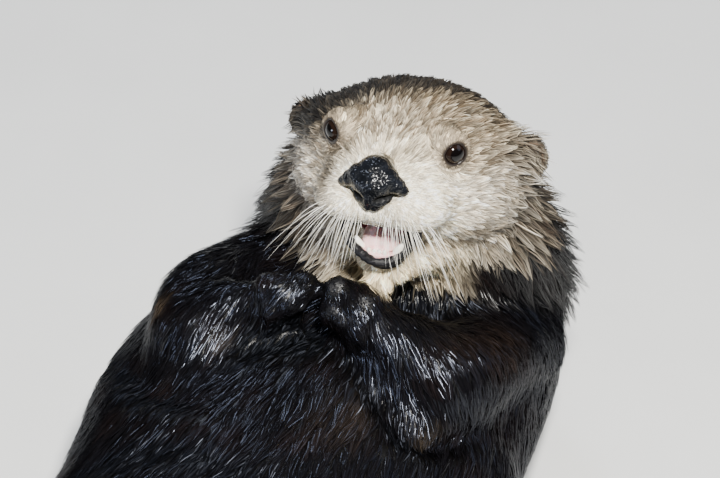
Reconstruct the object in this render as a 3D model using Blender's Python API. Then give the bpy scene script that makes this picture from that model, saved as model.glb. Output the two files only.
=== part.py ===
"""A sea otter lying on its back, life size, with its head raised and its forepaws held together on the chest.

Frame: metres, +Z up. The belly faces +Z, the head is at +Y, the tail at -Y, and the animal's left side is +X. The
origin is on the floor, under the middle of the whole body. The solids give the outline out to the tips of the coat.

Each stretch of the body starts as overlapping masses, which are fused into one smooth flesh. The flesh is cut by the
pieces set into it (eyes, nose, tongue, ears, arms, flippers) and is then parted into named nodes by thin cuts.
"""

import math

import bmesh
import bpy
from mathutils import Matrix, Vector

MM = 0.001
LEFT, RIGHT = 1, -1
SIDES = {LEFT: "left", RIGHT: "right"}

# Clearances and resolution.
PART_GAP = 0.0004  # width of a thin cut between two nodes
SET_IN_GAP = 0.0003  # clearance round a piece that is set into the flesh
BODY_VOXEL = 0.0038
FINE_VOXEL = 0.0028
LARGEST = 1.0  # no slab is wider than this

# Driving sizes. The eye line is the zero of the body's length: stations further back along it have y below zero.
EYE_LINE_HEIGHT = 0.300
HEAD_PITCH = math.radians(17.5)  # how far the face looks up from level
HEAD_LEAN = math.radians(5.6)  # how far the head leans over to its right shoulder
LEAN_AXIS = Vector((0.267, -0.661, 0.701))  # the head leans about this line, which runs forwards and up between the eyes
EYE_RADIUS = 0.0088
EYE_PLACES = {LEFT: Vector((38.0, 4.4, 0.5)) * MM, RIGHT: Vector((-34.5, 3.2, 2.8)) * MM}
FLOOR = 0.004  # what lies below this height is cut away, which leaves the flats that the back rests on

# Triangles allowed for each flesh, and how strongly its fine regions are kept.
HEAD_TRIANGLES = 1080
TRUNK_TRIANGLES = 940
ARM_TRIANGLES = 300
LEG_TRIANGLES = 170
FLIPPER_TRIANGLES = 340

COAT_DARK = (0.020, 0.014, 0.011)
COAT_PALE = (0.50, 0.42, 0.32)
BARE_SKIN = (0.012, 0.012, 0.014)
TONGUE_PINK = (0.75, 0.32, 0.34)
TOOTH_WHITE = (0.80, 0.76, 0.66)
LOOKS = {
    "head": (COAT_PALE, 0.6),
    "ear": (COAT_PALE, 0.6),
    "neck": (COAT_PALE, 0.6),
    "eye": (BARE_SKIN, 0.08),
    "nose": (BARE_SKIN, 0.3),
    "tongue": (TONGUE_PINK, 0.3),
    "teeth_lower": (TOOTH_WHITE, 0.3),
    "flipper": (BARE_SKIN, 0.4),
}

# The head's own frame: x to the animal's left, y to the back, z to the crown, with its origin between the eyes.
HEAD = Matrix.Translation((0, 0, EYE_LINE_HEIGHT)) @ Matrix.Rotation(-HEAD_PITCH, 4, "X")
LEAN_MIDDLE = Matrix.Translation(HEAD @ Vector((0, 0.006, 0)))
HEAD = LEAN_MIDDLE @ Matrix.Rotation(HEAD_LEAN, 4, LEAN_AXIS) @ LEAN_MIDDLE.inverted() @ HEAD
BODY = Matrix.Identity(4)


# ---------------------------------------------------------------- materials and objects


def material(name, colour, roughness):
    """A plain Principled material."""
    made = bpy.data.materials.new(name)
    made.use_nodes = True
    shader = made.node_tree.nodes["Principled BSDF"]
    shader.inputs["Base Color"].default_value = (*colour, 1)
    shader.inputs["Roughness"].default_value = roughness
    shader.inputs["Metallic"].default_value = 0
    return made


def object_from(clay, name):
    """The named object that holds this bmesh, which is freed."""
    mesh = bpy.data.meshes.new(name)
    bmesh.ops.recalc_face_normals(clay, faces=clay.faces)
    clay.to_mesh(mesh)
    clay.free()
    made = bpy.data.objects.new(name, mesh)
    bpy.context.scene.collection.objects.link(made)
    return made


def settle(thing):
    """Makes what the modifiers give the object's own mesh, in triangles, so that no later step bends a face."""
    graph = bpy.context.evaluated_depsgraph_get()
    mesh = bpy.data.meshes.new_from_object(thing.evaluated_get(graph))
    thing.modifiers.clear()
    clay = bmesh.new()
    clay.from_mesh(mesh)
    bmesh.ops.triangulate(clay, faces=clay.faces)
    clay.to_mesh(mesh)
    clay.free()
    thing.data = mesh


def drop(thing):
    bpy.data.objects.remove(thing)


# ---------------------------------------------------------------- masses


def ball(clay, frame, centre, radii, tilt=0.0, yaw=0.0, detail=3):
    """Adds an ellipsoid. tilt turns it about x and yaw about z, in degrees; lengths are in millimetres."""
    turn = Matrix.Rotation(math.radians(yaw), 4, "Z") @ Matrix.Rotation(math.radians(tilt), 4, "X")
    place = Matrix.Translation(Vector(centre) * MM) @ turn @ Matrix.Diagonal((*(Vector(radii) * MM), 1))
    bmesh.ops.create_icosphere(clay, subdivisions=detail, radius=1, matrix=frame @ place)


def through(stations, steps):
    """Catmull-Rom points through a list of equal-length tuples, steps to each span."""
    rows = [Vector(s) for s in stations]
    rows = [2 * rows[0] - rows[1], *rows, 2 * rows[-1] - rows[-2]]
    points = []
    for a, b, c, d in zip(rows, rows[1:], rows[2:], rows[3:]):
        for i in range(steps):
            t = i / steps
            points.append(
                0.5 * (2 * b + (c - a) * t + (2 * a - 5 * b + 4 * c - d) * t**2 + (3 * b - a - 3 * c + d) * t**3)
            )
    return [*points, rows[-2]]


def limb(clay, stations, wide=(1, 0, 0), around=20, steps=5):
    """Adds a tube with elliptical sections. A station is x, y, z, half width and half thickness, in millimetres;
    wide is the direction that the width runs in."""
    rows = through(stations, steps)
    centres = [Vector(row[:3]) * MM for row in rows]
    rings = []
    for i, (row, centre) in enumerate(zip(rows, centres)):
        along = (centres[min(i + 1, len(rows) - 1)] - centres[max(i - 1, 0)]).normalized()
        thick = along.cross(Vector(wide)).normalized()
        across = thick.cross(along).normalized()
        ring = []
        for k in range(around):
            turn = math.tau * k / around
            offset = across * math.cos(turn) * row[3] + thick * math.sin(turn) * row[4]
            ring.append(clay.verts.new(centre + offset * MM))
        rings.append(ring)
    for one, two in zip(rings, rings[1:]):
        for k in range(around):
            clay.faces.new((one[k], one[k - 1], two[k - 1], two[k]))
    clay.faces.new(rings[0])
    clay.faces.new(reversed(rings[-1]))


def fuse(name, clay, voxel, relax, hollows=None):
    """One closed smooth flesh from overlapping masses. hollows is a bmesh of masses to press out of it."""
    flesh = object_from(clay, name)
    remesh = flesh.modifiers.new("fuse", "REMESH")
    remesh.mode = "VOXEL"
    remesh.voxel_size = voxel
    settle(flesh)
    if hollows:
        press = object_from(hollows, name + "_hollows")
        carve(flesh, press)
        again = flesh.modifiers.new("fuse_again", "REMESH")
        again.mode = "VOXEL"
        again.voxel_size = voxel
    smooth = flesh.modifiers.new("relax", "SMOOTH")
    smooth.factor = 0.5
    smooth.iterations = relax
    settle(flesh)
    return flesh


def count_triangles(mesh):
    return sum(len(polygon.vertices) - 2 for polygon in mesh.polygons)


def thin_out(flesh, triangles, inside=None):
    """Decimates a flesh to a number of triangles. With inside, a test of a point, only the faces that pass it are
    thinned, and the number is what is left of those."""
    mesh = flesh.data
    total = count_triangles(mesh)
    reduce = flesh.modifiers.new("thin_out", "DECIMATE")
    if inside:
        chosen = {v.index for v in mesh.vertices if inside(v.co)}
        thinned = sum(len(p.vertices) - 2 for p in mesh.polygons if chosen.issuperset(p.vertices))
        group = flesh.vertex_groups.new(name="thinned")
        group.add(list(chosen), 1, "REPLACE")
        reduce.vertex_group = "thinned"
        reduce.vertex_group_factor = 1000
        triangles += total - thinned
    reduce.ratio = triangles / total
    settle(flesh)
    flesh.vertex_groups.clear()


# ---------------------------------------------------------------- cuts


def carve(flesh, cutter, operation="DIFFERENCE"):
    cut = flesh.modifiers.new("cut", "BOOLEAN")
    cut.operation = operation
    cut.solver = "EXACT"
    cut.object = cutter
    settle(flesh)
    drop(cutter)


def set_in(flesh, piece):
    """Presses a seat for the piece into the flesh."""
    seat = piece.copy()
    seat.data = piece.data.copy()
    bpy.context.scene.collection.objects.link(seat)
    carve(flesh, seat)


def draw_in(piece):
    """Draws a piece's surface in, so that it sits in its seat with a clearance."""
    shrink = piece.modifiers.new("shrink", "DISPLACE")
    shrink.strength = -SET_IN_GAP
    shrink.mid_level = 0
    settle(piece)


def slab(frame, centre, normal, half_size, half_depth=None):
    """A thin plate that cuts a flesh in two, at a place in millimetres. Its first side runs along x."""
    along = Vector(normal).normalized()
    side = along.orthogonal().normalized() if abs(along.x) > 0.99 else Vector((0, along.z, -along.y))
    side = side.normalized()
    other = along.cross(side)
    axes = Matrix((other, side, along)).transposed().to_4x4()
    half_depth = half_depth or half_size
    scale = Matrix.Diagonal((2 * half_size * MM, 2 * half_depth * MM, PART_GAP, 1))
    clay = bmesh.new()
    place = frame @ Matrix.Translation(Vector(centre) * MM) @ axes @ scale
    bmesh.ops.create_cube(clay, size=1, matrix=place)
    return object_from(clay, "slab")


def part(flesh, slabs, seeds):
    """Cuts a flesh by thin slabs and names each piece by the seed point, in metres, that lies nearest its middle."""
    for plate in slabs:
        carve(flesh, plate)
    shape = bmesh.new()
    shape.from_mesh(flesh.data)
    loose, pieces = set(shape.verts), []
    while loose:
        first = loose.pop()
        piece, edge = {first}, [first]
        while edge:
            for link in edge.pop().link_edges:
                for vertex in link.verts:
                    if vertex in loose:
                        loose.discard(vertex)
                        piece.add(vertex)
                        edge.append(vertex)
        pieces.append(piece)
    pieces.sort(key=len, reverse=True)
    made = {}
    for piece in pieces[: len(seeds)]:
        middle = sum((v.co for v in piece), Vector()) / len(piece)
        name = min((n for n in seeds if n not in made), key=lambda n: (seeds[n] - middle).length)
        own = shape.copy()
        own.verts.ensure_lookup_table()
        wanted = {v.index for v in piece}
        bmesh.ops.delete(own, geom=[v for v in own.verts if v.index not in wanted], context="VERTS")
        made[name] = object_from(own, name)
    shape.free()
    drop(flesh)
    return made


# ---------------------------------------------------------------- head


def head_masses(clay, hollows):
    """Skull, cheeks and muzzle, with the eye hollows and the open mouth pressed out."""
    ball(clay, HEAD, (1, 47, -21), (69, 60, 42))  # cranium
    ball(clay, HEAD, (0, 13, -9), (46, 30, 23))  # brow
    ball(clay, HEAD, (1, -8, -14), (24, 30, 17))  # bridge of the nose
    ball(clay, HEAD, (0, -14, -35), (16, 17, 11))  # middle of the upper lip
    ball(clay, HEAD, (0, 56, -62), (66, 44, 38))  # throat
    ball(clay, HEAD, (1, 5, -85), (23, 19, 13))  # chin
    ball(clay, HEAD, (0, 28, -78), (42, 30, 21))  # floor of the mouth
    for side in SIDES:
        ball(clay, HEAD, (35 * side, 38, -40), (41, 40, 34))  # cheek
        ball(clay, HEAD, (43 * side, 45, -18), (29, 34, 27))  # temple
        ball(clay, HEAD, (20.5 * side, -11, -29), (25, 24, 18))  # whisker pad
        ball(hollows, HEAD, (48 * side, -9, 2), (12, 10, 8), yaw=35 * side)  # eye hollow
    lip = bmesh.new()  # the lower lip, a bow from one corner of the mouth to the other
    bow = [(-20, 2, -56), (-14, -11, -66.5), (-1, -17, -71), (11, -11, -68), (17, 2, -57)]
    limb(lip, [(*place, 4.2, 4.2) for place in bow], wide=(0, 0, 1), around=10)
    bmesh.ops.transform(lip, matrix=HEAD, verts=lip.verts)
    rolled = bpy.data.meshes.new("lip")
    lip.to_mesh(rolled)
    clay.from_mesh(rolled)
    ball(hollows, HEAD, (-2, -6, -56), (19, 40, 13), tilt=14)  # mouth


def neck_and_trunk_masses(clay):
    """The raised neck, and the trunk, whose middle line bows a little to the animal's right under the arms."""
    limb(
        clay,
        [  # neck, from under the skull down into the shoulders
            (3, 50, 244, 73, 47),
            (0, 53, 200, 97, 57),
            (-5, 60, 150, 106, 66),
            (-6, 56, 100, 108, 76),
        ],
    )
    limb(
        clay,
        [  # trunk, from the nape to the rump
            (0, 148, 92, 40, 40),
            (-2, 118, 92, 80, 68),
            (-4, 84, 92, 104, 82),
            (-9, 40, 92, 120, 90),
            (-17, -10, 94, 133, 92),
            (-25, -60, 95, 148, 94),
            (-18, -160, 97, 143, 97),
            (-12, -280, 98, 146, 98),
            (-6, -400, 93, 135, 93),
            (-2, -480, 79, 110, 78),
            (0, -535, 60, 72, 55),
            (0, -575, 46, 48, 38),
        ],
    )


def build_torso():
    clay, hollows = bmesh.new(), bmesh.new()
    head_masses(clay, hollows)
    neck_and_trunk_masses(clay)
    limb(
        clay,
        [  # tail, a thick flattened paddle with a blunt end
            (0, -500, 52, 60, 46),
            (0, -560, 38, 50, 36),
            (0, -620, 29, 43, 29),
            (1, -700, 24, 38, 25),
            (4, -790, 19, 31, 20),
            (6, -832, 15, 22, 15),
            (7, -852, 13, 11, 8),
        ],
    )
    return fuse("torso", clay, BODY_VOXEL, 7, hollows)


# ---------------------------------------------------------------- limbs

# Shoulder, elbow, wrist and paw tip of each arm in millimetres, with half width and half thickness. The elbows hang
# beside the chest and the forearms cross it, so that the paws meet under the chin.
ARMS = {
    LEFT: [
        (72, 36, 124, 40, 44),
        (69, 10, 146, 34, 39),
        (67, -22, 160, 32, 37),
        (56, -50, 170, 37, 38),
        (26, -52, 187, 29, 29),
        (6, -50, 200, 20, 20),
        (-9, -49.5, 207, 16, 15),
    ],
    RIGHT: [
        (-86, 34, 122, 42, 44),
        (-98, 4, 138, 38, 42),
        (-104, -32, 154, 38, 41),
        (-98, -68, 166, 36, 36),
        (-79, -60, 185, 24, 25),
        (-59, -53, 197, 15, 19),
        (-41, -51, 205, 14, 16),
    ],
}
ELBOWS = {LEFT: (54, -74, 157), RIGHT: (-86, -92, 153)}
# Lobes of the mitten-like paws: middle and radius.
PAWS = {
    LEFT: [((-16, -44, 213), 10.5), ((-15, -56, 203), 10.5), ((-2, -46, 210), 12)],
    RIGHT: [((-36, -47, 210), 11), ((-42, -57, 203), 10), ((-54, -64, 196), 10)],
}


def build_arm(side):
    clay = bmesh.new()
    limb(clay, ARMS[side], wide=(0, 1, 0.2))
    ball(clay, BODY, ELBOWS[side], (27, 22, 24))
    for middle, radius in PAWS[side]:
        ball(clay, BODY, middle, (radius, radius, radius), detail=2)
    return fuse("arm_" + SIDES[side], clay, FINE_VOXEL, 3)


def build_leg(side):
    clay = bmesh.new()
    limb(
        clay,
        [  # thigh and shank, held out beside the rump
            (70 * side, -370, 86, 54, 60),
            (98 * side, -432, 90, 52, 52),
            (106 * side, -488, 78, 41, 41),
            (103 * side, -533, 66, 29, 28),
            (104 * side, -552, 69, 22, 20),
        ],
    )
    return fuse("leg_" + SIDES[side], clay, BODY_VOXEL, 3)


# ---------------------------------------------------------------- flippers

ANKLE = Vector((104, -548, 68))
TOE_END = Vector((172, -682, 158))
TOE_LENGTHS = (118, 135, 152, 168, 182)  # from the innermost toe to the outermost, from the ankle
TOE_SPREAD = 12.0  # degrees between neighbouring toes
TOE_RADII = ((0.0, 12.0), (0.3, 11.5), (0.6, 10.0), (0.86, 9.0), (0.97, 7.0))
WEB_HALF_THICKNESS = 3.6
CLAW_LENGTH = 9.0


def flipper_frame(side):
    """The flipper's own frame: x across it to the outer toe, y along it, z out of its upper face."""
    ankle = Vector((ANKLE.x * side, ANKLE.y, ANKLE.z)) * MM
    end = Vector((TOE_END.x * side, TOE_END.y, TOE_END.z)) * MM
    along = (end - ankle).normalized()
    across = Vector((side, 0.3, -0.3))
    across = (across - along * across.dot(along)).normalized()
    upper = across.cross(along)
    return Matrix.Translation(ankle) @ Matrix((across, along, upper)).transposed().to_4x4()


def toe_line(index):
    """Direction of a toe in the flipper's plane, and its length in millimetres."""
    turn = math.radians((index - 2) * TOE_SPREAD)
    return Vector((math.sin(turn), math.cos(turn), 0)), TOE_LENGTHS[index]


def web(clay, frame):
    """The skin between the toes, with a shallow bay between each two."""
    rim = []
    for index in range(5):
        line, length = toe_line(index)
        rim.append(line * (length - 8))
        if index < 4:
            following, longer = toe_line(index + 1)
            rim.append((line + following).normalized() * (length + longer) / 2 * 0.91)
    outline = [Vector((-16, -6, 0)), *rim, Vector((16, -6, 0))]
    thick = Vector((0, 0, WEB_HALF_THICKNESS))
    lower = [clay.verts.new(frame @ ((p - thick) * MM)) for p in outline]
    upper = [clay.verts.new(frame @ ((p + thick) * MM)) for p in outline]
    clay.faces.new(lower)
    clay.faces.new(reversed(upper))
    for k in range(len(outline)):
        clay.faces.new((lower[k - 1], lower[k], upper[k], upper[k - 1]))


def claws(frame):
    """A short curved claw for the end of each toe, as a bmesh of cones."""
    clay = bmesh.new()
    for index in range(5):
        line, length = toe_line(index)
        root = line * (length - 9) + Vector((0, 0, 3.0))
        along = (line + Vector((0, 0, -0.12))).normalized()
        side = Vector((0, 0, 1)).cross(along).normalized()
        axes = Matrix((side, along.cross(side), along)).transposed().to_4x4()
        middle = root + along * (CLAW_LENGTH / 2 + 4)
        place = frame @ Matrix.Translation(middle * MM) @ axes
        bmesh.ops.create_cone(
            clay,
            cap_ends=True,
            segments=8,
            radius1=2.6 * MM,
            radius2=0.5 * MM,
            depth=(CLAW_LENGTH + 6) * MM,
            matrix=place,
        )
    return clay


def build_flipper(side):
    frame = flipper_frame(side)
    clay = bmesh.new()
    web(clay, frame)
    for index in range(5):
        line, length = toe_line(index)
        stations = []
        for share, radius in TOE_RADII:
            point = frame @ (line * length * share * MM) / MM
            stations.append((*point, radius, radius * 0.85))
        limb(clay, stations, wide=frame.col[0].to_3d(), around=12, steps=3)
    ball(clay, frame, (0, 34, 1), (30, 44, 15))
    ball(clay, frame, (0, 2, 0), (24, 24, 20))
    flipper = fuse("flipper_" + SIDES[side], clay, FINE_VOXEL, 3)
    thin_out(flipper, FLIPPER_TRIANGLES)
    carve(flipper, object_from(claws(frame), "claws"), "UNION")
    return flipper


# ---------------------------------------------------------------- set-in pieces


def build_eye(side):
    clay = bmesh.new()
    place = HEAD @ Matrix.Translation(EYE_PLACES[side])
    bmesh.ops.create_uvsphere(clay, u_segments=12, v_segments=8, radius=EYE_RADIUS, matrix=place)
    return object_from(clay, "eye_" + SIDES[side])


def build_nose():
    """The bare nose pad: a broad wedge over the muzzle's end with a nostril cut into each wing."""
    clay, hollows = bmesh.new(), bmesh.new()
    ball(clay, HEAD, (-1.2, -24, -5), (12, 12, 9.5))
    ball(clay, HEAD, (-1.2, -28, -13), (16, 11, 10))
    ball(clay, HEAD, (-1.2, -30, -21.5), (9.5, 8.5, 9.5))
    for side in SIDES:
        ball(clay, HEAD, (-1.2 + 13.5 * side, -27, -15.5), (8.5, 10, 6), yaw=-14 * side)
        ball(hollows, HEAD, (-1.2 + 11 * side, -42, -20), (3.6, 8, 3.0), yaw=-20 * side)
    nose = fuse("nose", clay, 0.0018, 3, hollows)
    thin_out(nose, 230)
    return nose


def build_tongue():
    clay = bmesh.new()
    ball(clay, HEAD, (-2, 8, -61.5), (12, 22, 6), tilt=26)
    tongue = object_from(clay, "tongue")
    thin_out(tongue, 110)
    return tongue


def build_lower_teeth():
    """The lower incisors and canines, on a bow of gum behind the lip."""
    clay = bmesh.new()
    gum = [(-14, -3, -69), (-11, -10, -69), (-2, -13, -69), (7, -10, -69), (10, -3, -69)]
    limb(clay, [(*place, 2.8, 2.8) for place in gum], wide=(0, 0, 1), around=10)
    for x in (-7.0, -3.7, -0.3, 3.0):
        ball(clay, BODY, (x, -13, -67), (1.7, 1.8, 4.2), detail=2)
    for side in SIDES:
        ball(clay, BODY, (-2 + 11 * side, -9.5, -64.5), (2.4, 2.5, 7.5), tilt=8, detail=2)
    teeth = fuse("teeth_lower", clay, 0.0012, 1)
    teeth.data.transform(HEAD)
    thin_out(teeth, 170)
    return teeth


def build_ear(side):
    """A short upright flap, cupped towards the front."""
    clay, hollows = bmesh.new(), bmesh.new()
    ball(clay, HEAD, (72 * side, 60, -22), (12, 7, 13), yaw=-24 * side)
    ball(hollows, HEAD, (76 * side, 52, -22), (6, 5.5, 8), yaw=-24 * side)
    ear = fuse("ear_" + SIDES[side], clay, 0.0018, 2, hollows)
    thin_out(ear, 130)
    return ear


# ---------------------------------------------------------------- the whole animal


def on_head(point):
    """Whether a point of the torso is on the head, jaws and throat."""
    local = HEAD.inverted() @ point / MM
    return max(abs(local.x) / 92, abs(local.y - 30) / 85, abs(local.z + 32) / 78) < 1


def flatten_on_floor(flesh):
    """Cuts away what lies under the floor, so that the back rests on small flats."""
    clay = bmesh.new()
    place = Matrix.Translation((0, 0, FLOOR - LARGEST / 2)) @ Matrix.Diagonal((LARGEST, 2.5, LARGEST, 1))
    bmesh.ops.create_cube(clay, size=1, matrix=place)
    carve(flesh, object_from(clay, "floor"))


def part_torso(torso):
    slabs = [
        slab(BODY, (0, 62, 226), (0, -0.42, 0.91), 150),
        slab(BODY, (0, 60, 150), (0, 0.55, 0.83), 170),
        slab(BODY, (0, -190, 100), (0, 1, 0), 190),
        slab(BODY, (0, -560, 50), (0, 1, 0), 76, 90),
    ]
    seeds = {
        "head": Vector((0, 0.03, 0.27)),
        "neck": Vector((0, 0.07, 0.19)),
        "chest": Vector((0, -0.03, 0.1)),
        "belly": Vector((0, -0.33, 0.1)),
        "tail": Vector((0, -0.70, 0.02)),
    }
    return part(torso, slabs, seeds)


def part_arm(arm, side):
    name = SIDES[side]
    if side == LEFT:
        slabs = [
            slab(BODY, (66, -36, 168), (0.78, 0.60, -0.10), 62),
            slab(BODY, (6, -52, 199), (0.90, 0.05, -0.42), 50),
        ]
        seeds = {"upper_arm": (0.084, 0.01, 0.14), "forearm": (0.035, -0.055, 0.18), "paw": (-0.01, -0.05, 0.208)}
    else:
        slabs = [
            slab(BODY, (-104, -52, 162), (-0.30, 0.90, -0.28), 62),
            slab(BODY, (-57, -58, 196), (-0.88, -0.25, -0.42), 46),
        ]
        seeds = {"upper_arm": (-0.105, 0.0, 0.14), "forearm": (-0.085, -0.07, 0.175), "paw": (-0.045, -0.053, 0.203)}
    return part(arm, slabs, {key + "_" + name: Vector(value) for key, value in seeds.items()})


def main():
    for thing in list(bpy.data.objects):
        bpy.data.objects.remove(thing)

    torso = build_torso()
    thin_out(torso, TRUNK_TRIANGLES, lambda point: not on_head(point))
    thin_out(torso, HEAD_TRIANGLES, on_head)
    nodes = {"nose": build_nose(), "tongue": build_tongue(), "teeth_lower": build_lower_teeth()}
    set_in(nodes["tongue"], nodes["teeth_lower"])
    arms, legs = {}, {}
    for side, name in SIDES.items():
        arms[side], legs[side] = build_arm(side), build_leg(side)
        thin_out(arms[side], ARM_TRIANGLES)
        thin_out(legs[side], LEG_TRIANGLES)
        nodes["flipper_" + name] = build_flipper(side)
        nodes["eye_" + name] = build_eye(side)
        nodes["ear_" + name] = build_ear(side)
        set_in(legs[side], nodes["flipper_" + name])
    set_in(arms[RIGHT], arms[LEFT])
    for piece in (*arms.values(), *legs.values(), *nodes.values()):
        set_in(torso, piece)
        draw_in(piece)
        set_in(torso, piece)  # clears the few creases that the drawing in has pushed outwards
    flatten_on_floor(torso)
    nodes.update(part_torso(torso))
    for side, name in SIDES.items():
        flatten_on_floor(legs[side])
        nodes["leg_" + name] = legs[side]
        nodes.update(part_arm(arms[side], side))

    low = Vector(min(v.co[i] for n in nodes.values() for v in n.data.vertices) for i in range(3))
    high = Vector(max(v.co[i] for n in nodes.values() for v in n.data.vertices) for i in range(3))
    shift = Matrix.Translation((-(low.x + high.x) / 2, -(low.y + high.y) / 2, -low.z))
    for name, node in nodes.items():
        node.name = name
        node.data.name = name
        node.data.transform(shift)
        stem = name.removesuffix("_left").removesuffix("_right")
        colour, roughness = LOOKS.get(stem, (COAT_DARK, 0.45))
        node.data.materials.clear()
        node.data.materials.append(material(name + "_skin", colour, roughness))


main()
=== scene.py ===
"""A life-size sea otter on its back: one skin with its coat of tufts, eyes, nose, mouth, whiskers and claws, on a
pale studio floor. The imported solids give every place: the eyes fix the head's frame, and the body is set out from it.
"""

import math

import bmesh
import bpy
import numpy as np
from mathutils import Matrix, Vector
from mathutils.bvhtree import BVHTree
from mathutils.kdtree import KDTree


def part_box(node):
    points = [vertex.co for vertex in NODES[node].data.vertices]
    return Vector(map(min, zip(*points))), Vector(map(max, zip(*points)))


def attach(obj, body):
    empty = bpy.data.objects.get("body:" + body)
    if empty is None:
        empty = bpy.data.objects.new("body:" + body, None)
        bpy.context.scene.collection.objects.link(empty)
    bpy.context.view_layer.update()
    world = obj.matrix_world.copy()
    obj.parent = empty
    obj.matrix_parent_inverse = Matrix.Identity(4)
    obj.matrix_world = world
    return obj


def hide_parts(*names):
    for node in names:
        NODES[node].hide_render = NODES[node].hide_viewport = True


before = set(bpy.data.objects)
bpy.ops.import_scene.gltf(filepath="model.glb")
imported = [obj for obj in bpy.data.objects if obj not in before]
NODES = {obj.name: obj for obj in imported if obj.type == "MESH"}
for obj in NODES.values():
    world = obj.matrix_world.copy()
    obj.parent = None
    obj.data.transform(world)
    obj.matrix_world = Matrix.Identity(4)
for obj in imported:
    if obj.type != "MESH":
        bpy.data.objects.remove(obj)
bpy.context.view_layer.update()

MM = 0.001
LEFT, RIGHT = 1, -1  # the animal's own sides, each with the sign of x there
SIDES = {LEFT: "left", RIGHT: "right"}

# ---------------------------------------------------------------- places

HEAD_PITCH = math.radians(17.5)
HEAD_LEAN = math.radians(5.6)
LEAN_AXIS = Vector((0.267, -0.661, 0.701))
EYE_CENTRES = {side: sum(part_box("eye_" + name), Vector()) / 2 for side, name in SIDES.items()}
EYE_LINE = (EYE_CENTRES[LEFT] + EYE_CENTRES[RIGHT]) / 2
HEAD_TURN = Matrix.Rotation(HEAD_LEAN, 4, LEAN_AXIS) @ Matrix.Rotation(-HEAD_PITCH, 4, "X")
EYES_MIDDLE = Vector((1.75, 3.8, 1.65)) * MM  # the middle between the eyes, in the head's own frame
HEAD = Matrix.Translation(EYE_LINE - HEAD_TURN @ EYES_MIDDLE) @ HEAD_TURN
BROW = HEAD @ (Vector((0, 6, 0)) * MM)
# The body's frame has its zero under the brow, on the level that the solids' stations are given from.
BODY = Matrix.Translation(BROW - Vector((0, 5.72, 298.2)) * MM)
# Below, q is a place in the head's frame and b one in the body's, both in millimetres. x goes to the animal's left,
# and y to the back of the head in the one and from the tail's end to the head's in the other. Both have z upward.


def local(points, matrix):
    """World points in metres, as millimetres in a frame."""
    inverse = np.array(matrix.inverted())
    return (points @ inverse[:3, :3].T + inverse[:3, 3]) / MM


def turned(vectors, matrix):
    """Directions of a frame in the world."""
    return vectors @ np.array(matrix)[:3, :3].T


def in_world(points, matrix):
    """Millimetres of a frame, as world points in metres."""
    return turned(points * MM, matrix) + np.array(matrix.translation)


def smooth_step(low, high, value):
    t = np.clip((value - low) / (high - low), 0, 1)
    return t * t * (3 - 2 * t)


def fade(low, high, value):
    """1 up to low, and falling smoothly to 0 at high."""
    return 1 - smooth_step(low, high, value)


def bell(distance, width, power=2):
    """1 in the middle, and falling off to nothing beyond a width."""
    return np.exp(-(np.abs(distance / width) ** power))


def mix(a, b, t):
    """From a to b by t. Each may be a number or one for each point, and a and b may be vectors or colours too."""
    t = np.asarray(t, float)
    if any(np.ndim(v) > t.ndim or np.shape(v) == (3,) for v in (a, b)):
        t = t[..., None]
    return a * (1 - t) + b * t


def unit(vectors):
    return vectors / np.maximum(np.linalg.norm(vectors, axis=-1, keepdims=True), 1e-9)


def ripple(points, size, seed):
    """A cheap smooth random field of about -1 to 1, with features of that size in metres."""
    draw = np.random.default_rng(seed)
    total = 0
    for _ in range(5):
        wave = unit(draw.normal(size=3)) * draw.uniform(0.7, 1.5) * math.tau / size
        total = total + np.sin(points @ wave + draw.uniform(0, math.tau))
    return total / 3.0


# ---------------------------------------------------------------- colours and materials


def linear(code):
    """An sRGB hex colour as linear red, green and blue."""
    parts = [int(code[i : i + 2], 16) / 255 for i in (1, 3, 5)]
    return np.array([c / 12.92 if c <= 0.04045 else ((c + 0.055) / 1.055) ** 2.4 for c in parts])


def rgba(code):
    return (*linear(code), 1)


def to_the_metre(size):
    """A pattern's scale: how many features of a size in millimetres go to the metre, in two round figures."""
    return float(f"{1 / (size * MM):.2g}")


def new_material(name, **values):
    """A material with values set on its surface's own sockets."""
    made = bpy.data.materials.new(name)
    made.use_nodes = True
    surface = made.node_tree.nodes["Principled BSDF"].inputs
    for key, value in values.items():
        surface[key.replace("_", " ")].default_value = value
    return made, made.node_tree, surface


def add(tree, kind, output, settings=None, **links):
    """Adds one node and gives one of its outputs. Settings are its own properties, its sockets' values or a ramp's
    stops, and links join its inputs, by name or as i0, i1 and so on."""
    node = tree.nodes.new("ShaderNode" + kind)
    for key, value in (settings or {}).items():
        if key == "stops":
            band = node.color_ramp.elements
            while len(band) < len(value):
                band.new(0.5)
            for element, (place, code) in zip(band, value):
                element.position, element.color = place, rgba(code)
        elif hasattr(node, key):
            setattr(node, key, value)
        else:
            node.inputs[key].default_value = value
    for key, socket in links.items():
        tree.links.new(socket, node.inputs[int(key[1:]) if key[0] == "i" and key[1:].isdigit() else key])
    return node.outputs[output]


def coated(tree, surface, pattern, low, high, dry, soaked):
    """Joins up the coat's stored colour, shaded by a pattern, and a roughness from dry to soaked."""
    colour = add(tree, "Attribute", "Color", {"attribute_name": "coat"})
    wet = add(tree, "Attribute", "Fac", {"attribute_name": "wet"})
    limits = {"From Min": 0.3, "From Max": 0.7, "To Min": low, "To Max": high}
    shade = add(tree, "MapRange", "Result", limits, Value=pattern)
    tinted = add(tree, "VectorMath", "Vector", {"operation": "SCALE"}, i0=colour, Scale=shade)
    tree.links.new(tinted, surface["Base Color"])
    rough = add(tree, "MapRange", "Result", {"To Min": dry, "To Max": soaked}, Value=wet)
    tree.links.new(rough, surface["Roughness"])


STREAKS = 9.0  # to the unit of a tuft's own pattern
STREAKS_LONG, STREAKS_WIDE = 0.35, 0.24  # how many units a tuft is long and wide


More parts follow.
